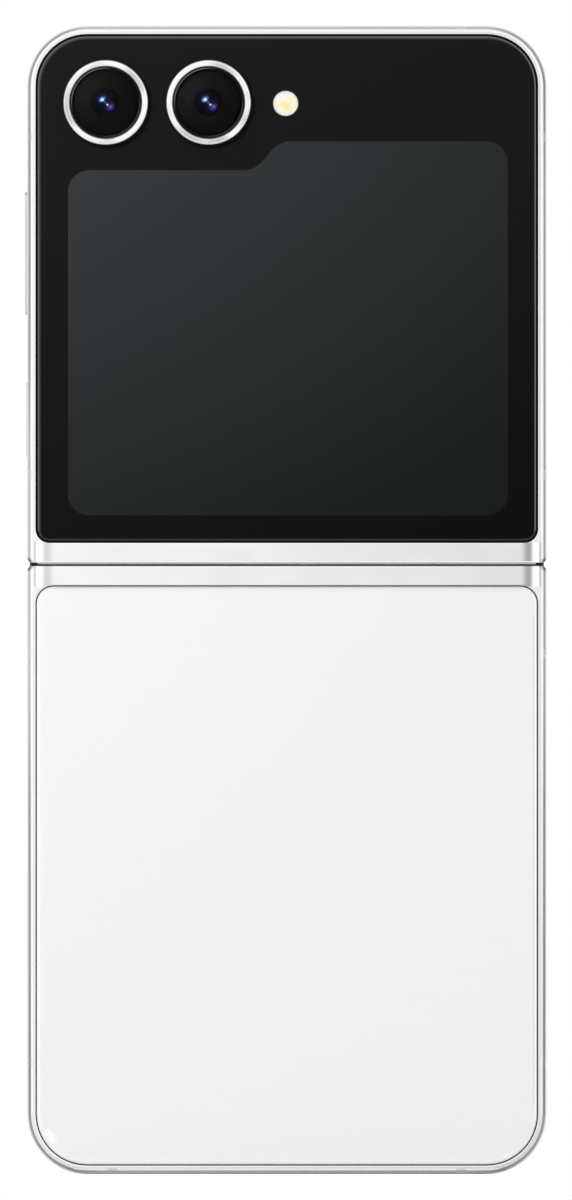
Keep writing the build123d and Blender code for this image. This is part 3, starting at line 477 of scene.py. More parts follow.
def number_setting(name, description, low, high, default, unit="NONE"):
    """Setting for a number from low to high, with its unit."""
    return bpy.props.FloatProperty(
        name=name, description=description, unit=unit, min=low, max=high, default=default
    )


class FLIP_PG_metal(bpy.types.PropertyGroup):
    """Metal parts."""

    silver: colour_setting("Silver", "Colour of the frame and keys", "#EEEEEE")
    polish: number_setting("Polish", "Roughness of the polished frame", 0, 1, 0.22)
    spine: colour_setting("Spine", "Colour of the spine cover", "#B8B8BA")
    bands: colour_setting("Bands", "Colour of the antenna bands", "#ECECEE")


class FLIP_PG_glass(bpy.types.PropertyGroup):
    """Outer glass."""

    white: colour_setting("White", "Colour behind the lower glass", "#FDFDFC")
    gasket_width: number_setting(
        "Gasket width", "Visible width of the glue line, lower glass", 0.00012, 0.0003, 0.000175, "LENGTH"
    )
    screen_radius: number_setting(
        "Screen corner", "Corner radius of the cover display", 0.0005, 0.006, 0.0029, "LENGTH"
    )


class FLIP_PG_fold(bpy.types.PropertyGroup):
    """Folding display."""

    crease: number_setting("Crease", "Depth of the crease at the fold", 0, 0.0003, 0.00008, "LENGTH")
    rows: bpy.props.IntProperty(
        name="Rows", description="Rows of faces in each half of the fold", min=6, max=60, default=24
    )


class FLIP_PG_studio(bpy.types.PropertyGroup):
    """Floor and light."""

    key: number_setting("Key light", "Power of the large soft light", 0, 100, 3.0, "POWER")
    ambient: number_setting("Room light", "Strength of the even light from all sides", 0, 3, 0.884)
    floor: colour_setting("Floor", "Colour of the floor", "#FBFBFB")


# ---------------------------------------------------------------- finish of the frame and its painted light and shade


# Middle in x (mm) about which the painted light and shade at the ends of the strip beside the hinge lie.
SHADE_MIDDLE_X = 0.12


def hinge_lines(tree, z, colour, soft, *lines):
    """Lays painted lines of light and shade along the hinge over a colour: each has two heights over its line
    (mm) and a colour.
    """
    for low, high, code in lines:
        colour = laid_over(tree, colour, code, between(tree, z, HINGE_Z + low, HINGE_Z + high, soft))
    return colour


def frame_places(tree):
    """Coordinates on the frame that its painted light and shade follow: x, y and z, the distances from the
    middle, from the hinge line and from the middle of the painted marks at the strip's ends, and the share of
    the flat strip beside the hinge."""
    place = add(tree, "ShaderNodeTexCoord").outputs["Object"]
    x, y, z = add(tree, "ShaderNodeSeparateXYZ", {0: place}).outputs
    from_hinge = apart(tree, z, HINGE_Z)
    strip = overlap(tree, (from_hinge, 3.3, 2.9), (y, -3.2, -3.4))
    from_shade_middle = apart(tree, x, SHADE_MIDDLE_X)
    return SimpleNamespace(
        x=x, y=y, z=z, aside=apart(tree, x), from_hinge=from_hinge, from_shade_middle=from_shade_middle, strip=strip
    )


def painted_dip_shade(tree, at, colour):
    """Painted shade of a narrow dip near each end of the strip: darkest 33.35 mm from the middle, softer on
    its inner side and stronger at the right end. More painted shade greys the right end of the strip a
    little."""
    dip = overlap(tree, (at.from_shade_middle, 32.2, 33.3), (at.from_shade_middle, 34.2, 33.4), course="SMOOTHSTEP")
    strength = overlap(tree, (at.x, -33, 33, 0.4, 0.84))
    grey = overlap(tree, (at.x, 14, 27, 0.0, 0.14))
    deep = add(tree, "ShaderNodeMath", {0: dip, 1: strength, 2: grey}, operation="MULTIPLY_ADD").outputs[0]
    return laid_over(tree, colour, "#A0A0A2", deep, at.strip)


def painted_end_highlight(tree, at, colour):
    """Painted highlight on each end of the strip, beyond the painted shade of the dip."""
    return laid_over(tree, colour, "#FFFFFF", (at.from_shade_middle, 33.7, 34.25), (at.aside, 35.0, 34.7), at.strip)


def painted_gap_edge_lines(tree, at, colour):
    """Painted shade on the rounding of the edge over the gap, and a painted highlight line above it."""
    return hinge_lines(tree, at.z, colour, 0.02, (0.1, 0.25, "#BABABC"), (0.27, 0.42, "#FFFFFF"))


def painted_corner_shade(tree, at, colour):
    """Painted shade: a fine grey line at the corner between the strip's face and its rounded side, 35 mm out.
    """
    reach = apart(tree, at.from_shade_middle, 35.0)
    fine = overlap(tree, (reach, 0.2, 0.05, 0.0, 0.8), course="SMOOTHSTEP")
    return laid_over(tree, colour, "#BEBEC0", fine, at.strip)


def painted_nook_shade(tree, at, colour):
    """Painted shade in the outer corners beside the gap, 36 mm out."""
    place = add(tree, "ShaderNodeCombineXYZ", {0: at.aside, 2: at.z}).outputs[0]
    nook_shade = spot(tree, place, 36.0, HINGE_Z, 1.15, 0.65, 0.85)
    return laid_over(tree, colour, "#6E6E70", nook_shade, (at.y, -2.2, -2.7))


def painted_rim_shade(tree, at, colour):
    """Painted shade away from the hinge: a darker line along the rounding, all along the left side and the
    lower right one, round the corners and along the bottom. On the upper right side it starts 38 mm later."""
    right = add(tree, "ShaderNodeMath", {0: at.x, 1: 0.0}, operation="GREATER_THAN").outputs[0]
    upper = add(tree, "ShaderNodeMath", {0: at.z, 1: HINGE_Z * MM}, operation="GREATER_THAN").outputs[0]
    late = {0: overlap(tree, right, upper), 1: -38 * MM, 2: at.from_hinge}
    shade_from = add(tree, "ShaderNodeMath", late, operation="MULTIPLY_ADD").outputs[0]
    ends = {0: overlap(tree, (at.aside, 27.6, 31.5)), 1: overlap(tree, (at.z, 12, 6))}
    outline = add(tree, "ShaderNodeMath", ends, operation="MAXIMUM").outputs[0]
    depths = {0: overlap(tree, (at.z, 60, 12, 0.55, 1.0)), 1: overlap(tree, (at.aside, 26, 30, 0.55, 1.0))}
    depth = add(tree, "ShaderNodeMath", depths, operation="MINIMUM").outputs[0]
    rounding = between(tree, at.y, -3.25, -3.0, 0.06)
    return laid_over(tree, colour, "#9E9EA0", rounding, (shade_from, 16, 32), outline, depth)


def painted_bottom_highlight(tree, at, colour):
    """Painted highlight on the face of the lower end."""
    return laid_over(tree, colour, "#FFFFFF", (at.y, -3.24, -3.28), (at.z, 0.82, 0.72))


def painted_gap_shade(tree, at, colour):
    """Painted shade on the walls of the gap, below the rounding of its edges."""
    return laid_over(tree, colour, "#8E8E92", (at.from_hinge, 0.2, 0.16), (at.y, -3.25, -3.1))


PAINTED_LIGHT_AND_SHADE = (painted_dip_shade, painted_end_highlight, painted_gap_edge_lines, painted_corner_shade, painted_nook_shade, painted_rim_shade, painted_bottom_highlight, painted_gap_shade)


def satin_frame(light, dark, rough):
    """Satin-polished anodised aluminium: a bright soft mirror, with painted light and shade laid over it."""
    material, tree, bsdf, place = new_material("satin-polished anodised aluminium", Metallic=1.0)
    at = frame_places(tree)
    # Painted shade: the metal darkens from the left side to the right.
    colour = laid_over(tree, light, dark, (at.x, -35, 35))
    for paint_layer in PAINTED_LIGHT_AND_SHADE:
        colour = paint_layer(tree, at, colour)
    feed(bsdf, Base_Color=colour, Roughness=clouds(tree, place, 12.0, 2.0, rough)[1])
    return material


def band_rim_shade(tree, colour):
    """The painted shade along the rounding runs on over the antenna bands."""
    return painted_rim_shade(tree, frame_places(tree), colour)


def painted_crown_lines(tree, colour):
    """Along the crown of the spine run a dark line of painted shade and a line of painted highlight."""
    place = add(tree, "ShaderNodeTexCoord").outputs["Object"]
    z = add(tree, "ShaderNodeSeparateXYZ", {0: place}).outputs[2]
    return hinge_lines(tree, z, colour, 0.03, (-0.28, 0.03, "#2C2D2F"), (0.06, 0.17, "#FFFFFF"))


# ---------------------------------------------------------------- metal


# Heights in mm between which the loudspeaker slot is cut on.
CUT_Z = (-0.5, 1.0)


class FLIP_OT_frame(bpy.types.Operator):
    """Polishes the two half frames, the keys and the tray, and moulds the antenna bands"""

    bl_idname = "flip.frame"
    bl_label = "Frame, Keys and Bands"

    def execute(self, context):
        metal = context.scene.flip_metal
        silver, shade = dimmed(metal.silver), dimmed(metal.silver, 0.9)
        rough = (metal.polish * 0.9, metal.polish * 1.1)
        dress(satin_frame(silver, shade, rough), "lower_frame", "upper_frame")
        # Polished anodised aluminium: the mirror of the frame, a shade darker.
        keys = metallic("polished anodised key", shade, "#C4C4C5", 3.0, rough)
        dress(keys, "volume_key", "side_key")
        # Satin anodised aluminium: a fine grain that only softens the mirror.
        tray = metallic("satin anodised tray", silver, shade, 0.15, (0.25, 0.32), 0.001)
        dress(tray, "sim_tray")
        # Glass-filled nylon, lacquered with the frame: almost as bright as the metal, but duller.
        light = dimmed(metal.bands)
        band = grained("lacquered nylon band", light, "#E6E6E8", 5.0, (0.28, 0.32), Metallic=0.9)
        dress(repainted(band, band_rim_shade), "lower_antenna_bands", "upper_antenna_bands")
        self.open_bands(band)
        return {"FINISHED"}

    def open_bands(self, band):
        """Lower bands, with the outermost loudspeaker slot cut on through the one that it touches."""
        bm = joined(NODES["lower_antenna_bands"].data, CAD_DOUBLE)
        whole = mesh_piece("lower_bands_whole", [], [])
        bm.to_mesh(whole.data)
        bm.free()
        cutter = self.slot_cutter()
        cut = whole.modifiers.new("slot", "BOOLEAN")
        cut.operation, cut.solver, cut.object = "DIFFERENCE", "EXACT", cutter
        mesh = plain_mesh(whole, "lower_bands_open", band)
        for extra in (cutter, whole):
            bpy.data.objects.remove(extra)
        piece = placed("lower_bands_open", mesh)
        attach(piece, "lower_half")
        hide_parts("lower_antenna_bands")

    def slot_cutter(self):
        """Bar through the bottom wall with the outline of the slot."""
        outline = rounded(*SLOT, SLOT_HALF, SLOT_HALF)
        points = [(x, y, z) for z in CUT_Z for x, y in outline]
        count = len(outline)
        ends = [tuple(range(count)), tuple(range(count, 2 * count))]
        return face_outwards(mesh_piece("slot_cutter", points, ring_faces(2, count, closed=False) + ends))


class FLIP_OT_hinge(bpy.types.Operator):
    """Finishes the spine, its end caps and the steel hinge inside"""

    bl_idname = "flip.hinge"
    bl_label = "Hinge"

    def execute(self, context):
        metal = context.scene.flip_metal
        # Bead-blasted anodised aluminium: a fine sparkle that scatters the light.
        light, dark = dimmed(metal.spine), dimmed(metal.spine, 0.9)
        spine = metallic("blasted anodised spine", light, dark, 0.12, (0.34, 0.44), 0.002)
        dress(repainted(spine, painted_crown_lines), "spine_cover")
        # Moulded polycarbonate: an even dark grey, dull from the texture of its mould.
        cap = grained("moulded grey polycarbonate", "#2E2E30", "#262628", 0.2, (0.45, 0.55), 0.002)
        dress(cap, "spine_end_caps")
        # Sintered steel: slightly grey and even, with the grain of the powder.
        sintered = metallic("sintered steel", "#B9B9BC", "#A2A2A6", 0.1, (0.3, 0.42), 0.003)
        dress(sintered, "lower_hinge_brackets", "upper_hinge_brackets", "hinge_housings")
        # Cut steel: brighter than the sintered parts, because its teeth are ground.
        pinions = metallic("cut steel pinion", "#CFCFD1", "#BDBDC0", 0.2, (0.18, 0.26))
        dress(pinions, *(f"sync_pinion_{i}" for i in range(1, 5)))
        # Rolled stainless sheet: the grain runs across the phone.
        across = (0.05, 1, 1)
        sheet = metallic("rolled stainless sheet", "#C8C8CA", "#B0B0B3", 0.08, (0.22, 0.34), 0.001, across)
        dress(sheet, "lower_support_wing", "upper_support_wing")
        # Zinc-nickel plated screws: dark and dull.
        screws = metallic("black zinc screw", "#5A5A5E", "#47474B", 0.15, (0.3, 0.42))
        dress(screws, "lower_bracket_screws", "upper_bracket_screws", "housing_screws")
        dress(screws, "main_board_screws", "sub_board_screws")
        return {"FINISHED"}


# ---------------------------------------------------------------- glass


# Glue bead in mm: how far it reaches under the frame and its foot under the glass, and the depths of the foot
# and the back.
BEAD_HIDDEN = 0.12
BEAD_TOE = 0.01
BEAD_FOOT = 0.36
BEAD_BACK = 0.55
# The bead round the black glass is wider by this much.
BLACK_BEAD_EXTRA = 0.165
# The face of a glass leans by this much where it meets the bent edge, and is flat SOFT_WIDTH mm further in.
EDGE_TILT = 0.042
SOFT_WIDTH = 0.35
# Room in metres for a vertex of the outer face to lie off it.
ON_FACE = 2e-6
CLEAR_COAT = {"Coat_Weight": 1.0, "Coat_Roughness": 0.02, "Coat_IOR": 1.5}
# Share of that lean at every side, and what is added where the side faces the light.
LEAN_SHARES = (0.3, 0.7)
# Faces of the bend that get the painted edge light: limits of their normal along Y, its least height along Z,
# and their depth in mm.
LIT_Y = (-0.99, -0.8)
LIT_Z = -0.05
LIT_DEPTH = 0.12
# Painted highlight in the lower left corner of the white glass: the spots (x, z in mm) that it is made of,
# and the radius, core and strength of each.
GLINT = ((-33.0, 5.75), (-32.7, 5.2), (-32.35, 4.65))
GLINT_SPOT = (0.75, 0.25, 0.8)


def glass_box(node):
    """Sides and ends of a glass in mm."""
    lo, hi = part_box(node)
    return lo.x / MM, hi.x / MM, lo.z / MM, hi.z / MM


def gasket(name, body, box, corners, width, glue):
    """Glue bead in the gap round a glass, width metres wide and just below the bent edge."""
    inner = width / MM - BEAD_HIDDEN
    top = OUTER_Y + GLASS_BEND - math.sqrt(GLASS_BEND**2 - (GLASS_BEND - inner) ** 2)
    foot, back = OUTER_Y + BEAD_FOOT, OUTER_Y + BEAD_BACK
    section = ((-BEAD_HIDDEN, top), (inner, top), (BEAD_TOE, foot), (BEAD_TOE, back), (-BEAD_HIDDEN, back))
    points = []
    for inset, y in section:
        points += [(x, y, z) for x, z in rounded(*box, *corners, inset)]
    count = len(points) // len(section)
    piece = face_outwards(mesh_piece(name, points, ring_faces(len(section), count), glue, smooth=35))
    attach(piece, body)


def on_face(vertex):
    """Whether a vertex lies in the outer face of the glasses."""
    return abs(vertex.co.y - OUTER_Y * MM) < ON_FACE


def border(edges):
    """Edges of the loop that reaches furthest to the right."""
    loop = {max((v for e in edges for v in e.verts), key=lambda v: v.co.x)}
    found = set()
    grown = True
    while grown:
        more = {e for e in edges if e not in found and loop & set(e.verts)}
        grown = bool(more)
        found |= more
        loop |= {v for e in more for v in e.verts}
    return [e for e in edges if e in found]


def refill_face(bm, outlines):
    """Takes the flat outer face of a glass away and fills it anew round one or two outlines, the first of
    which follows its border. Gives back the border's vertices, the bent rest and the printed faces."""
    flat = [f for f in bm.faces if all(on_face(v) for v in f.verts)]
    bmesh.ops.delete(bm, geom=flat, context="FACES")
    bend = set(bm.faces)
    open_edges = [e for e in bm.edges if e.is_boundary]
    far = border(open_edges)
    holes = [e for e in open_edges if e not in far]
    loops = []
    for outline in outlines:
        corners = [bm.verts.new(Vector((x * MM, OUTER_Y * MM, z * MM))) for x, z in outline]
        loops.append([bm.edges.new((a, b)) for a, b in zip(corners, corners[1:] + corners[:1])])
    fill = {"use_beauty": True, "normal": (0, -1, 0)}
    bmesh.ops.triangle_fill(bm, edges=far + loops[0], **fill)
    bmesh.ops.triangle_fill(bm, edges=holes + sum(loops, []), **fill)
    printed = set(bm.faces) - bend
    for window in loops[1:]:
        bmesh.ops.triangle_fill(bm, edges=window, **fill)
    return {v for e in far for v in e.verts}, bend, printed


def tilted_rim(rim, lit):
    """Normals of the rim's vertices, which lean outwards most at the sides that face the direction lit."""
    always, added = LEAN_SHARES
    tilts = {}
    for vertex in rim:
        out = Vector((vertex.normal.x, 0, vertex.normal.z)).normalized()
        lean = max(0, always + added * out.dot(Vector(lit)))
        tilts[tuple(vertex.co)] = (Vector((0, -1, 0)) + EDGE_TILT * lean * out).normalized()
    return tilts


def is_lit_edge(face):
    """Whether a face of the bend leans just off the outer face and does not look down."""
    depth = face.calc_center_median().y - OUTER_Y * MM
    return LIT_Y[0] < face.normal.y < LIT_Y[1] and face.normal.z > LIT_Z and depth < LIT_DEPTH * MM


def glass_panel(name, node, body, *materials, soft, lit, window=None):
    """Copy of a glass in the materials of its face, its bent edge and what shows through its window. Soft and
    window are outlines within the face, which is bent most at the sides that face the direction lit."""
    bm = joined(NODES[node].data, CAD_DOUBLE)
    rim, bend, printed = refill_face(bm, [outline for outline in (soft, window) if outline])
    bm.normal_update()
    tilts = tilted_rim(rim, lit)
    for face in bm.faces:
        face.smooth = True
        if face in bend:
            face.material_index = 1 if is_lit_edge(face) else 0
        else:
            face.material_index = 0 if face in printed else 2
            if face.normal.y > 0:
                face.normal_flip()
    mesh = bpy.data.meshes.new(name)
    bm.to_mesh(mesh)
    bm.free()
    for material in materials:
        mesh.materials.append(material)
    mesh.set_sharp_from_angle(angle=math.radians(40))
    normals = [Vector(n.vector) for n in mesh.corner_normals]
    for face in mesh.polygons:
        for loop in face.loop_indices:
            vertex = mesh.vertices[mesh.loops[loop].vertex_index]
            if on_face(vertex) and face.normal.y < -0.5:
                normals[loop] = tilts.get(tuple(vertex.co), Vector((0, -1, 0)))
    mesh.normals_split_custom_set(normals)
    piece = placed(name, mesh)
    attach(piece, body)
    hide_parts(node)


class FLIP_OT_back_glass(bpy.types.Operator):
    """Makes the white lower glass and lays its glue bead"""

    bl_idname = "flip.back_glass"
    bl_label = "Lower Glass"

    def execute(self, context):
        glass = context.scene.flip_glass
        white = dimmed(glass.white)
        box, corners = glass_box("lower_back_glass"), (GLASS_CORNER, LOWER_HINGE_CORNER)
        soft = rounded(*box, *corners, GLASS_BEND + SOFT_WIDTH)
        face, edge = self.white_face(white), self.bent_edge(white)
        lean = {"soft": soft, "lit": (-1, 0, -0.3)}
        glass_panel("lower_glass_panel", "lower_back_glass", "lower_half", face, edge, **lean)
        dress(face, "lower_back_glass")
        # Grey glue bead: matt and slightly uneven.
        glue = grained("grey glue bead", "#2E2F32", "#26272A", 0.2, (0.5, 0.65), Specular_IOR_Level=0.2)
        gasket("lower_glass_gasket", "lower_half", box, corners, glass.gasket_width, glue)
        return {"FINISHED"}

    def white_face(self, white):
        """Clear glass over white paint: the paint is soft, with painted light that makes it lighter towards
        the upper left, and the glass is mirror smooth.
        """
        face, tree, bsdf, place = new_material("white back-painted glass", Roughness=0.53, **CLEAR_COAT)
        painted_light_tint = shaded(tree, place, ("#F6F7F7", "#F1F2F2", "#F2F3F3", "#F0F1F1"), (-34, 34), (2, 81))
        both = {0: 1.0, 6: painted_light_tint, 7: white}
        paint = add(tree, "ShaderNodeMix", both, data_type="RGBA", blend_type="MULTIPLY").outputs[2]
        # Painted shade in a soft band along the hinge side, and in a narrow one along the right side.
        x, _, z = add(tree, "ShaderNodeSeparateXYZ", {0: place}).outputs
        top, right = (z, 80.4, 81.3, 0.0, 0.13), (x, 34.0, 34.1, 0.0, 0.11)
        paint = laid_over(tree, paint, "#000000", top, between(tree, x, -31.5, 31.5, 1.5))
        paint = laid_over(tree, paint, "#000000", right, (x, 34.5, 34.4), between(tree, z, 10, 77, 2.5))
        # A painted highlight: the small bright reflex in the lower left corner.
        for glint_x, glint_z in GLINT:
            paint = laid_over(tree, paint, "#FFFFFF", spot(tree, place, glint_x, glint_z, *GLINT_SPOT))
        feed(bsdf, Base_Color=paint)
        return face

    def bent_edge(self, white):
        """Clear bent glass: painted light along the sides, and painted shade that makes it greyer along the
        hinge side.
        """
        edge, tree, bsdf, place = new_material("clear bent glass edge", Roughness=0.38, **CLEAR_COAT)
        x = add(tree, "ShaderNodeSeparateXYZ", {0: place}).outputs[0]
        feed(bsdf, Base_Color=laid_over(tree, dimmed(white, 0.72), white, (apart(tree, x), 33.2, 34.2)))
        return edge


class FLIP_OT_cover_glass(bpy.types.Operator):
    """Makes the black cover glass with the cover display behind it, and lays its glue bead"""

    bl_idname = "flip.cover_glass"
    bl_label = "Cover Glass"

    def execute(self, context):
        glass = context.scene.flip_glass
        # The bent edge has a stronger mirror, and a lighter colour as a painted highlight where it does not
        # look down.
        edge = grained("bright bent glass edge", "#2A2A2C", "#222224", 6.0, (0.05, 0.08), IOR=1.95)
        black, screen = self.black_face(), self.dark_screen()
        box, corners = glass_box("cover_glass"), (UPPER_HINGE_CORNER, GLASS_CORNER)
        inner = {"soft": rounded(*box, *corners, GLASS_BEND + SOFT_WIDTH)}
        inner["window"] = self.screen_outline(glass.screen_radius / MM)
        shown = (black, edge, screen)
        glass_panel("cover_glass_panel", "cover_glass", "upper_half", *shown, lit=(-0.7, 0, 0.7), **inner)
        dress(black, "cover_glass")
        dress(screen, "cover_display")
        # Black glue bead: matt and slightly uneven.
        glue = grained("black glue bead", "#050505", "#0A0A0A", 0.2, (0.6, 0.7), Specular_IOR_Level=0.05)
        width = glass.gasket_width + BLACK_BEAD_EXTRA * MM
        gasket("cover_glass_gasket", "upper_half", box, corners, width, glue)
        return {"FINISHED"}

    def black_face(self):
        """Clear glass over a black print: deep black under a clean mirror, with painted light that makes it a
        touch lighter in the upper left. Painted shade lies on the print below and to the right of the proud
        rings."""
        ring_shade = 0.4
        black, tree, bsdf, place = new_material("black back-printed glass", Roughness=0.02, IOR=1.5)
        deep = shaded(tree, place, ("#181819", "#121213", "#0B0B0C", "#030303"), (-34, 34), (88, 157))
        for x in LENS_X:
            near = spot(tree, place, x + ring_shade, LENS_Z - ring_shade, 6.3, 5.75)
            deep = laid_over(tree, deep, "#010101", near)
        feed(bsdf, Base_Color=deep)
        return black

    def dark_screen(self):
        """Switched-off display under the glass: dark grey-green, with painted light that makes it greyer
        towards the upper left.
        """
        screen, tree, bsdf, place = new_material("switched-off cover display", Roughness=0.03, IOR=1.5)
        dark = shaded(tree, place, ("#36393A", "#242727", "#202323", "#131515"), (-30, 31), (92, 142))
        feed(bsdf, Base_Color=dark)
        return screen

    def screen_outline(self, radius):
        """Outline of the cover display, which steps down beside the cameras with rounder corners."""
        step_down, step_start, step_end, step_radius = 4.0, 0.85, 4.31, 3.4
        lo, hi = (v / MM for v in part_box("cover_display"))
        slope = ((FLASH[0] - step_start, hi.z), (FLASH[0] - step_end, hi.z - step_down))
        corners = ((lo.x, lo.z), (hi.x, lo.z), (hi.x, hi.z), *slope, (lo.x, hi.z - step_down))
        return flat_outline(corners, (radius, radius, radius, step_radius, step_radius, radius))


# ---------------------------------------------------------------- cameras


# Painted reflexes of the lens coating: right and up from the middle, radius (mm) and colour.
PAINTED_LENS_REFLEXES = (
    (-0.1, 0.0, 2.1, "#0B0D14"),
    (-0.48, 0.42, 0.95, "#0E1C44"),
    (0.5, -0.56, 0.95, "#181640"),
    (-0.52, 0.46, 0.42, "#4478B4"),
    (-0.22, 0.64, 0.32, "#35609E"),
    (-0.7, 0.28, 0.32, "#5C92C6"),
    (-0.45, 0.4, 0.32, "#DDF6FF"),
    (0.64, -0.66, 0.5, "#403B8C"),
    (0.9, -0.4, 0.38, "#322E76"),
    (0.36, -0.84, 0.32, "#34327E"),
    (0.72, -0.6, 0.28, "#6C64BC"),
    (0.25, -0.32, 0.19, "#FBF6FF"),
    (-0.06, 0, 0.14, "#8E7CC0"),
)
# Painted grey shine in the barrels.
PAINTED_BARREL_SHINE = (
    (-2.4, 2.0, 6.4, "#101011"),
    (-2.9, 2.3, 3.6, "#1C1C1D"),
    (0, 0, 2.9, "#0C0C0E"),
)
# Profiles of the camera windows and of the lenses behind them: radius and y in mm.
WINDOW_PROFILE = (
    (0, -4.6), (4.5, -4.6), (4.68, -4.6), (4.79, -4.575),
    (5.0, -4.54), (5.0, -4.1), (4.5, -4.1), (0, -4.1),
)
DOME_PROFILE = (
    (0, -3.56), (0.5, -3.54), (1.0, -3.46), (1.5, -3.32),
    (2.0, -3.12), (2.15, -3.04), (2.15, -2.95), (0, -2.95),
)


class FLIP_OT_cameras(bpy.types.Operator):
    """Finishes the camera rings, windows, barrels and flash, and adds the lenses"""

    bl_idname = "flip.cameras"
    bl_label = "Cameras and Flash"

    def execute(self, context):
        dress(self.turned_ring(), "camera_rings")
        centres = [(x, LENS_Z) for x in LENS_X]
        # Anti-reflection coated glass: almost invisible, with a faint mirror.
        clear = {"Transmission_Weight": 1.0, "IOR": 1.12}
        window = grained("coated lens window", "#FFFFFF", "#F8F8FF", 4.0, (0.0, 0.01), **clear)
        # Black print behind the border of the window: deep black, and no mirror.
        dull = {"Specular_IOR_Level": 0.1}
        printed = grained("black window print", "#030303", "#050505", 0.5, (0.1, 0.15), **dull)
        finishes = (window, self.ground_bevel(), printed)
        shape = {"bands": (0, 2, 1, 2, 2, 2, 0), "segments": 96, "smooth": 8}
        panes = turned("lens_windows", WINDOW_PROFILE, centres, *finishes, **shape)
        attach(panes, "upper_half")
        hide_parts("camera_windows")
        # Black anodised barrel, blasted so that it swallows light.
        barrel = grained("matt black barrel", "#0C0C0D", "#070708", 0.15, (0.5, 0.65), 0.002, **dull)
        dress(barrel, "selfie_camera")
        # The same finish in the two main barrels, with painted light: greyer where light falls in from the
        # upper left.
        duller = {"Roughness": 0.6, "Specular_IOR_Level": 0.08}
        dress(self.spotted("matt black lens barrel", "#020202", PAINTED_BARREL_SHINE, **duller), "camera_modules")
        # Multi-coated glass: black, with a painted light blue and a painted violet reflex on opposite sides
        # of the middle.
        coated = self.spotted("multi-coated lens", "#040406", PAINTED_LENS_REFLEXES, Roughness=0.02, IOR=1.1)
        lenses = turned("camera_lenses", DOME_PROFILE, centres, coated, segments=64)
        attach(lenses, "upper_half")
        dress(self.milky_flash(), "flash_lens")
        return {"FINISHED"}

    def turned_ring(self):
        """Turned and polished aluminium: the fine circles of the tool break the light into soft sectors."""
        ring, tree, bsdf, place = new_material("turned aluminium ring", Metallic=1.0)
        noise, rough = clouds(tree, place, 5.0, 1.0, (0.14, 0.24))
        sectors = {0: noise, 1: 0.4, 2: 0.6}
        share = add(tree, "ShaderNodeMapRange", sectors, interpolation_type="SMOOTHSTEP").outputs[0]
        feed(bsdf, Base_Color=laid_over(tree, "#D9D9DB", "#F0F0F2", share), Roughness=rough)
        return ring

    def ground_bevel(self):
        """Ground glass over black print, with a painted glint only where it leans to the upper left or lower
        right.
        """
        upper_left = (-0.7071, 0, 0.7071)
        bevel, tree, bsdf, _ = new_material("ground window bevel", Roughness=0.4, Specular_IOR_Level=0.1)
        lean = {0: add(tree, "ShaderNodeTexCoord").outputs["Normal"], 1: upper_left}
        slant = add(tree, "ShaderNodeVectorMath", lean, operation="DOT_PRODUCT").outputs["Value"]
        colour = "#040404"
        for start, end, code in ((0.1, 0.18, "#6A6A6C"), (-0.1, -0.18, "#3C3C3E")):
            limits = {0: slant, 1: start, 2: end}
            glint = add(tree, "ShaderNodeMapRange", limits, interpolation_type="SMOOTHSTEP").outputs[0]
            colour = laid_over(tree, colour, code, glint)
        feed(bsdf, Base_Color=colour)
        return bevel

    def milky_flash(self):
        """Diffusing lens of the flash: milky polycarbonate over yellow phosphor, which is cast unevenly, so
        that its patch wanders."""
        coat = {"Coat_Weight": 1.0, "Coat_Roughness": 0.05}
        flash, tree, bsdf, place = new_material("milky flash lens", Roughness=0.3, **coat)
        centre, away = offset(tree, place, *FLASH)
        grain = {"Vector": place, "Scale": per_mm(1.3), "Detail": 2.0}
        wander = add(tree, "ShaderNodeTexNoise", grain).outputs[1]
        reach = (3.0 * MM, 0, 3.0 * MM)
        for operation, value in (("SUBTRACT", (0.5, 0.5, 0.5)), ("MULTIPLY", reach), ("ADD", centre)):
            wander = add(tree, "ShaderNodeVectorMath", {0: wander, 1: value}, operation=operation).outputs[0]
        near = add(tree, "ShaderNodeVectorMath", {0: wander}, operation="LENGTH").outputs["Value"]
        patch = ((0.0, "#F4E09A"), (0.25, "#F9EAB4"), (0.55, "#FDF4D2"), (0.85, "#F9F5E4"), (1.0, "#F6F4EC"))
        rim = ((0.0, "#FFFFFF"), (0.5, "#F9F9F8"), (1.0, "#E4E4E2"))
        layers = []
        for share, stops in (((near, 0.0, 1.5), patch), ((away, 0.9, 1.8), rim)):
            layers.append(ramp(tree, overlap(tree, share), [(at, srgb(code)) for at, code in stops]))
        both = {0: 1.0, 6: layers[0], 7: layers[1]}
        milky = add(tree, "ShaderNodeMix", both, data_type="RGBA", blend_type="MULTIPLY").outputs[2]
        feed(bsdf, Base_Color=milky)
        return flash

    def spotted(self, name, base, spots, **shader):
        """Dark material with soft painted spots of light round each lens's middle: right, up, radius (mm) and
        colour.
        """
        material, tree, bsdf, place = new_material(name, **shader)
        colour = base
        for x in LENS_X:
            for right, up, radius, code in spots:
                share = spot(tree, place, x + right, LENS_Z + up, radius, radius * 0.45)
                colour = laid_over(tree, colour, code, share)
        feed(bsdf, Base_Color=colour)
        return material


# ---------------------------------------------------------------- openings


# Sizes in mm. The weave is a little coarser than the real one, so that it shows.
WEAVE = {"Pitch": 0.16, "Wire": 0.035}
SLOT_MESH = {"Length": 1.6, "Height": 0.96, **WEAVE}
SLOT_MESH_PLACE = (12.5, OPENING_Y, 0.5)
SLOT_STEP = (2.6, 0, 0)
SLIT_MESH = {"Length": 9.92, "Height": 0.48, **WEAVE}
SLIT_MESH_PLACE = (0, 3.3, 157.5)
CONTACT = {"Length": 0.27, "Height": 0.04, "Depth": 3.2}
CONTACT_STEP = (0.5, 0, 0)
CONTACT_ROWS = (("upper", (-2.75, 0.16, 3.0)), ("lower", (-2.75, -0.56, 3.0)))


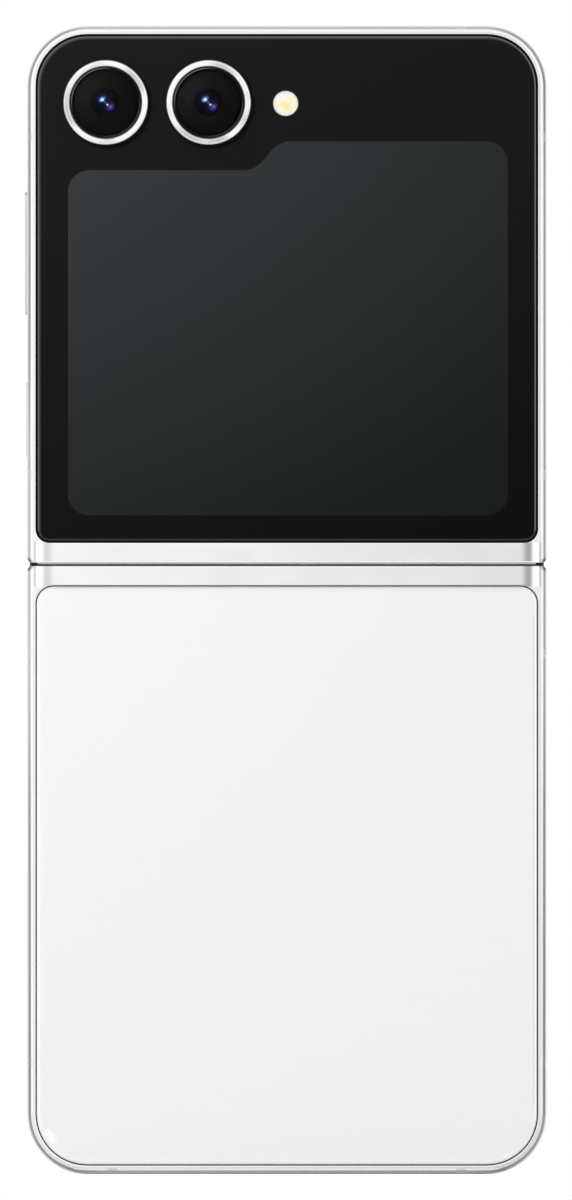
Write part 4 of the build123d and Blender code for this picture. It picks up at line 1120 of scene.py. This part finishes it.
class FLIP_OT_openings(bpy.types.Operator):
    """Lays the wire mesh behind the loudspeaker slots and the ear slit, and the contacts in the port"""

    bl_idname = "flip.openings"
    bl_label = "Openings"

    def execute(self, context):
        # Woven stainless wire, blackened: dark, with a dull glint on each wire.
        wire = metallic("blackened woven wire", "#3A3A3D", "#2A2A2D", 0.1, (0.35, 0.45), 0.001)
        slots = {"count": 5, "step": SLOT_STEP}
        arrayed("speaker_mesh", "lower_half", woven, wire, SLOT_MESH_PLACE, SLOT_MESH, **slots)
        arrayed("earpiece_mesh", "upper_half", woven, wire, SLIT_MESH_PLACE, SLIT_MESH, turn=UPRIGHT)
        # Gold plate on the contacts of the port's tongue: warm, smooth and bright.
        gold = metallic("gold-plated contact", "#E8C26A", "#D9AE52", 0.3, (0.18, 0.26))
        row = {"count": 12, "step": CONTACT_STEP}
        for side, place in CONTACT_ROWS:
            arrayed(f"port_contacts_{side}", "lower_half", bar, gold, place, CONTACT, **row)
        return {"FINISHED"}


# ---------------------------------------------------------------- folding display


# Profile of the window over the selfie camera: radius and y in mm.
SELFIE_PROFILE = (
    (0, 3.3), (0.45, 3.28), (0.85, 3.2), (0.95, 3.16),
    (1.05, 3.38), (1.86, 3.38), (1.86, 3.14), (0, 3.12),
)


class FLIP_OT_display(bpy.types.Operator):
    """Makes the folding part of the inner display and finishes the display, its edge and the selfie camera"""

    bl_idname = "flip.display"
    bl_label = "Folding Display"

    def execute(self, context):
        fold = context.scene.flip_fold
        # Hard-coated polymer film over the switched-off panel: black and glossy, a little soft.
        film, tree, bsdf, place = new_material("hard-coated display film", Roughness=0.06, IOR=1.5)
        # Painted light: the film is lighter towards the top and towards the right.
        dark = shaded(tree, place, ("#0A0B0C", "#15171A", "#050506", "#0B0C0E"), (-34, 34), (2, 157))
        feed(bsdf, Base_Color=dark)
        dress(film, "lower_display_panel", "upper_display_panel")
        # Thermoplastic edge: satin black.
        edge = grained("satin black edge strip", "#1A1A1C", "#121214", 0.25, (0.42, 0.52), 0.002)
        dress(edge, "lower_bezel", "upper_bezel")
        self.selfie_window()
        lo, hi = (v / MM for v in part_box("fold_display_strip"))
        meets = (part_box("lower_display_panel")[1].z / MM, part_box("upper_display_panel")[0].z / MM)
        for side, start, meet in (("lower", lo.z, meets[0]), ("upper", hi.z, meets[1])):
            piece = self.film_half(f"fold_film_{side}", film, start, meet, (hi.x, lo.y), fold)
            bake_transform(piece)
            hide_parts("fold_display_strip")
        return {"FINISHED"}

    def film_half(self, name, film, start, meet, corner, fold):
        """Film from the panel of one half to the hinge line, where it dips into the crease. Corner is half
        its width and the height of its back."""
        half, deck = corner
        # It overlaps the panel by one row, and then has even rows from its start.
        shares = [(meet - start) / (HINGE_Z - start)] + [k / fold.rows for k in range(fold.rows + 1)]
        points = []
        for share in shares:
            t = max(share, 0)
            top = DISPLAY_Y - fold.crease / MM * (3 * t * t - 2 * t * t * t)
            z = start + (HINGE_Z - start) * share
            points += [(-half, top, z), (half, top, z), (half, deck, z), (-half, deck, z)]
        last = len(points) - 4
        ends = [(0, 1, 2, 3), (last + 3, last + 2, last + 1, last)]
        faces = ring_faces(len(shares), 4, closed=False) + ends
        return face_outwards(mesh_piece(name, points, faces, film, smooth=40))

    def selfie_window(self):
        """Window over the selfie camera, with the lens in its middle."""
        # Printed film over the camera hole: black, and smooth as the film round it.
        ring = grained("black printed film", "#040405", "#060607", 0.5, (0.06, 0.1), IOR=1.45)
        # Coated glass: almost black, with a blue and violet cast.
        eye = grained("coated selfie lens", "#0C1020", "#141226", 0.8, (0.02, 0.05), IOR=1.6)
        shape = {"bands": (1, 1, 1, 0, 0, 0, 0), "segments": 64, "smooth": 25}
        window = turned("selfie_window", SELFIE_PROFILE, [(0, SELFIE_Z)], ring, eye, **shape)
        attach(window, "upper_half")


# ---------------------------------------------------------------- inside


# Sizes in mm of the coil's winding and of the capacitors.
COIL_INNER = 11.2
COIL_WIRE = {"Pitch": 0.5, "Wire": 0.19}
COIL_MARGIN = 0.2
CAPACITOR = {"Length": 1.0, "Height": 0.5, "Depth": 0.5}
CAPACITOR_PLACE = (-14, 0.6, 10)
CAPACITOR_ROWS = {"count": 7, "step": (3, 0, 0), "rows": 3, "row_step": (0, 0, 3)}


class FLIP_OT_inside(bpy.types.Operator):
    """Finishes the cells, boards, coil and modules inside"""

    bl_idname = "flip.inside"
    bl_label = "Inside"

    def execute(self, context):
        # Laminated pouch foil under a black label: softly creased.
        pouch = grained("laminated pouch foil", "#3A3B3E", "#2C2D30", 5.0, (0.3, 0.45), 0.02, Metallic=0.6)
        dress(pouch, "main_battery", "upper_battery")
        self.wind_coil()
        # Solder mask over copper and glass fibre: an even deep green, with a faint ripple.
        mask = grained("green solder mask", "#0F3D2A", "#0B3022", 0.5, (0.3, 0.4), 0.004)
        dress(mask, "main_board", "sub_board")
        # Fired ceramic: small tan blocks in rows on the board.
        ceramic = grained("fired ceramic capacitor", "#B8946A", "#A5835C", 0.4, (0.35, 0.45), 0.001)
        place, rows = CAPACITOR_PLACE, CAPACITOR_ROWS
        arrayed("sub_board_capacitors", "lower_half", bar, ceramic, place, CAPACITOR, **rows)
        # Stamped nickel silver: a warm grey metal, dull from the press.
        can = metallic("stamped nickel silver", "#C9C7C2", "#B9B7B2", 0.5, (0.28, 0.38), 0.002)
        dress(can, "shield_cans", "tray_reader", "vibration_motor")
        # Drawn stainless steel: cooler and brighter than the cans.
        steel = metallic("drawn stainless steel", "#C4C4C6", "#B2B2B5", 0.3, (0.22, 0.3), 0.001)
        dress(steel, "usb_c_port")
        # Moulded polymer: black and matt.
        black = grained("moulded black polymer", "#202023", "#18181A", 0.2, (0.5, 0.62), 0.003)
        dress(black, "loudspeaker", "earpiece", "key_switches", "flash_module")
        return {"FINISHED"}

    def wind_coil(self):
        """Winds the charging coil from enamelled copper wire: orange, smooth and bright."""
        copper = metallic("enamelled copper wire", "#C9793F", "#A85E2C", 0.4, (0.25, 0.35), 0.002)
        dress(copper, "charging_coil")
        lo, hi = (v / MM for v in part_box("charging_coil"))
        middle = (0, (lo.y + hi.y) / 2, (lo.z + hi.z) / 2)
        turns = {"Inner": COIL_INNER, "Outer": hi.x - COIL_MARGIN, **COIL_WIRE}
        coil = arrayed("coil_winding", "lower_half", winding, copper, middle, turns, turn=UPRIGHT)
        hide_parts("charging_coil")


# ---------------------------------------------------------------- studio


# Half the width of the floor in mm.
FLOOR_HALF = 1500
# Places in metres. The camera stands straight ahead.
LAMP_PLACE = (-0.45, -0.9, 0.75)
LAMP_AIM = (0, 0, 0.08)
LAMP_SIZE = 0.7
CAMERA_PLACE = (-0.000116, -1.0, 0.07948)
CAMERA_SPAN = 0.1662
# What a mirror sees, by the angle from straight ahead: a dark spot where the camera stands, a bright front,
# dark flags at the sides that draw the edges, and a softer back. The light comes from above.
MIRROR_STRENGTH = 1.3
ABOVE = (
    (0, 0.09), (1.2, 0.1), (2.2, 0.4), (4.2, 1.125), (13, 1.125), (22, 0.72), (29, 0.66), (38, 1.04),
    (56, 0.86), (72, 0.7), (84, 0.4), (98, 0.42), (118, 0.62), (132, 0.74), (172, 0.7), (177, 0.3),
    (180, 0.3),
)
BELOW = (
    (0, 0.09), (1.2, 0.1), (2.2, 0.4), (4.2, 1.125), (13, 1.1), (22, 0.62), (29, 0.54), (38, 1.1),
    (50, 1.3), (66, 1.25), (76, 0.6), (86, 0.15), (98, 0.15), (118, 0.36), (132, 0.6), (172, 0.65),
    (177, 0.25), (180, 0.25),
)


class FLIP_OT_stage(bpy.types.Operator):
    """Sets up the floor, the soft light and the camera"""

    bl_idname = "flip.stage"
    bl_label = "Studio"

    def execute(self, context):
        scene, studio = context.scene, context.scene.flip_studio
        scene.view_settings.view_transform = "Standard"
        # Matt paper: plain white, and no mirror.
        paper = grained("matt paper sweep", dimmed(studio.floor), "#F7F7F7", 40.0, (0.8, 0.9))
        corners = [(x * FLOOR_HALF, y * FLOOR_HALF, 0) for x, y in ((-1, -1), (1, -1), (1, 1), (-1, 1))]
        floor = mesh_piece("studio_floor", corners, [(0, 1, 2, 3)], paper)
        self.world(scene, studio)
        self.lamp(studio)
        scene.camera = self.camera()
        return {"FINISHED"}

    def lamp(self, studio):
        """Large soft light from the upper left, which no mirror shows."""
        key = bpy.data.lights.new("soft_key", "AREA")
        key.energy, key.shape, key.size = studio.key, "SQUARE", LAMP_SIZE
        lamp = placed("soft_key", key)
        lamp.location = LAMP_PLACE
        lamp.rotation_euler = (Vector(LAMP_AIM) - lamp.location).to_track_quat("-Z", "Y").to_euler()
        lamp.visible_glossy = False

    def camera(self):
        """Camera without perspective, straight in front of the open phone."""
        data = bpy.data.cameras.new("camera")
        data.type, data.ortho_scale = "ORTHO", CAMERA_SPAN
        data.clip_start, data.clip_end = 0.01, 10
        camera = placed("camera", data)
        camera.location = CAMERA_PLACE
        camera.rotation_euler = UPRIGHT
        return camera

    def world(self, scene, studio):
        """White room: plain for the camera, and with dark side flags for what the metal and glass mirror."""
        world = bpy.data.worlds.new("white room")
        scene.world = world
        world.use_nodes = True
        tree = world.node_tree
        tree.nodes.clear()
        way = add(tree, "ShaderNodeTexCoord").outputs["Generated"]
        ahead, lean = (
            add(tree, "ShaderNodeVectorMath", {0: way, 1: axis}, operation="DOT_PRODUCT").outputs["Value"]
            for axis in ((0, -1, 0), (-0.2, 0, 0.98))
        )
        angle = add(tree, "ShaderNodeMath", {0: ahead}, operation="ARCCOSINE").outputs[0]
        share = add(tree, "ShaderNodeMapRange", {0: angle, 2: math.pi}).outputs[0]
        levels = []
        for stops in (ABOVE, BELOW):
            greys = [(degrees / 180, (level, level, level, 1)) for degrees, level in stops]
            levels.append(ramp(tree, share, greys))
        side = add(tree, "ShaderNodeMapRange", {0: lean, 1: 0.5, 2: -0.5}).outputs[0]
        level = laid_over(tree, *levels, side)
        mirror = add(tree, "ShaderNodeBackground", {"Color": level, "Strength": MIRROR_STRENGTH}).outputs[0]
        even = add(tree, "ShaderNodeBackground", {"Color": "#FFFFFF", "Strength": studio.ambient}).outputs[0]
        plain = add(tree, "ShaderNodeBackground", {"Color": "#FFFFFF", "Strength": 1.0}).outputs[0]
        ray = add(tree, "ShaderNodeLightPath").outputs
        lit = add(tree, "ShaderNodeMixShader", {0: ray["Is Glossy Ray"], 1: even, 2: mirror}).outputs[0]
        seen = add(tree, "ShaderNodeMixShader", {0: ray["Is Camera Ray"], 1: lit, 2: plain}).outputs[0]
        add(tree, "ShaderNodeOutputWorld", {"Surface": seen})


# ---------------------------------------------------------------- panel and run


STEPS = (
    FLIP_OT_stage,
    FLIP_OT_frame,
    FLIP_OT_hinge,
    FLIP_OT_back_glass,
    FLIP_OT_cover_glass,
    FLIP_OT_cameras,
    FLIP_OT_openings,
    FLIP_OT_display,
    FLIP_OT_inside,
)
GROUPS = {
    "flip_metal": FLIP_PG_metal,
    "flip_glass": FLIP_PG_glass,
    "flip_fold": FLIP_PG_fold,
    "flip_studio": FLIP_PG_studio,
}


class FLIP_PT_panel(bpy.types.Panel):
    """Lists the settings and the steps."""

    bl_idname = "FLIP_PT_panel"
    bl_label = "Flip Phone"
    bl_space_type = "VIEW_3D"
    bl_region_type = "UI"
    bl_category = "Flip Phone"

    def draw(self, context):
        for key, group in GROUPS.items():
            box = self.layout.box()
            for name in group.__annotations__:
                box.prop(getattr(context.scene, key), name)
        for step in STEPS:
            self.layout.operator(step.bl_idname)


def register():
    for kind in (*GROUPS.values(), *STEPS, FLIP_PT_panel):
        bpy.utils.register_class(kind)
    for key, group in GROUPS.items():
        setattr(bpy.types.Scene, key, bpy.props.PointerProperty(type=group))


def unregister():
    for key in GROUPS:
        delattr(bpy.types.Scene, key)
    for kind in reversed((*GROUPS.values(), *STEPS, FLIP_PT_panel)):
        bpy.utils.unregister_class(kind)


def main():
    register()
    for step in STEPS:
        area, name = step.bl_idname.split(".")
        getattr(getattr(bpy.ops, area), name)()


if __name__ == "__main__":
    main()
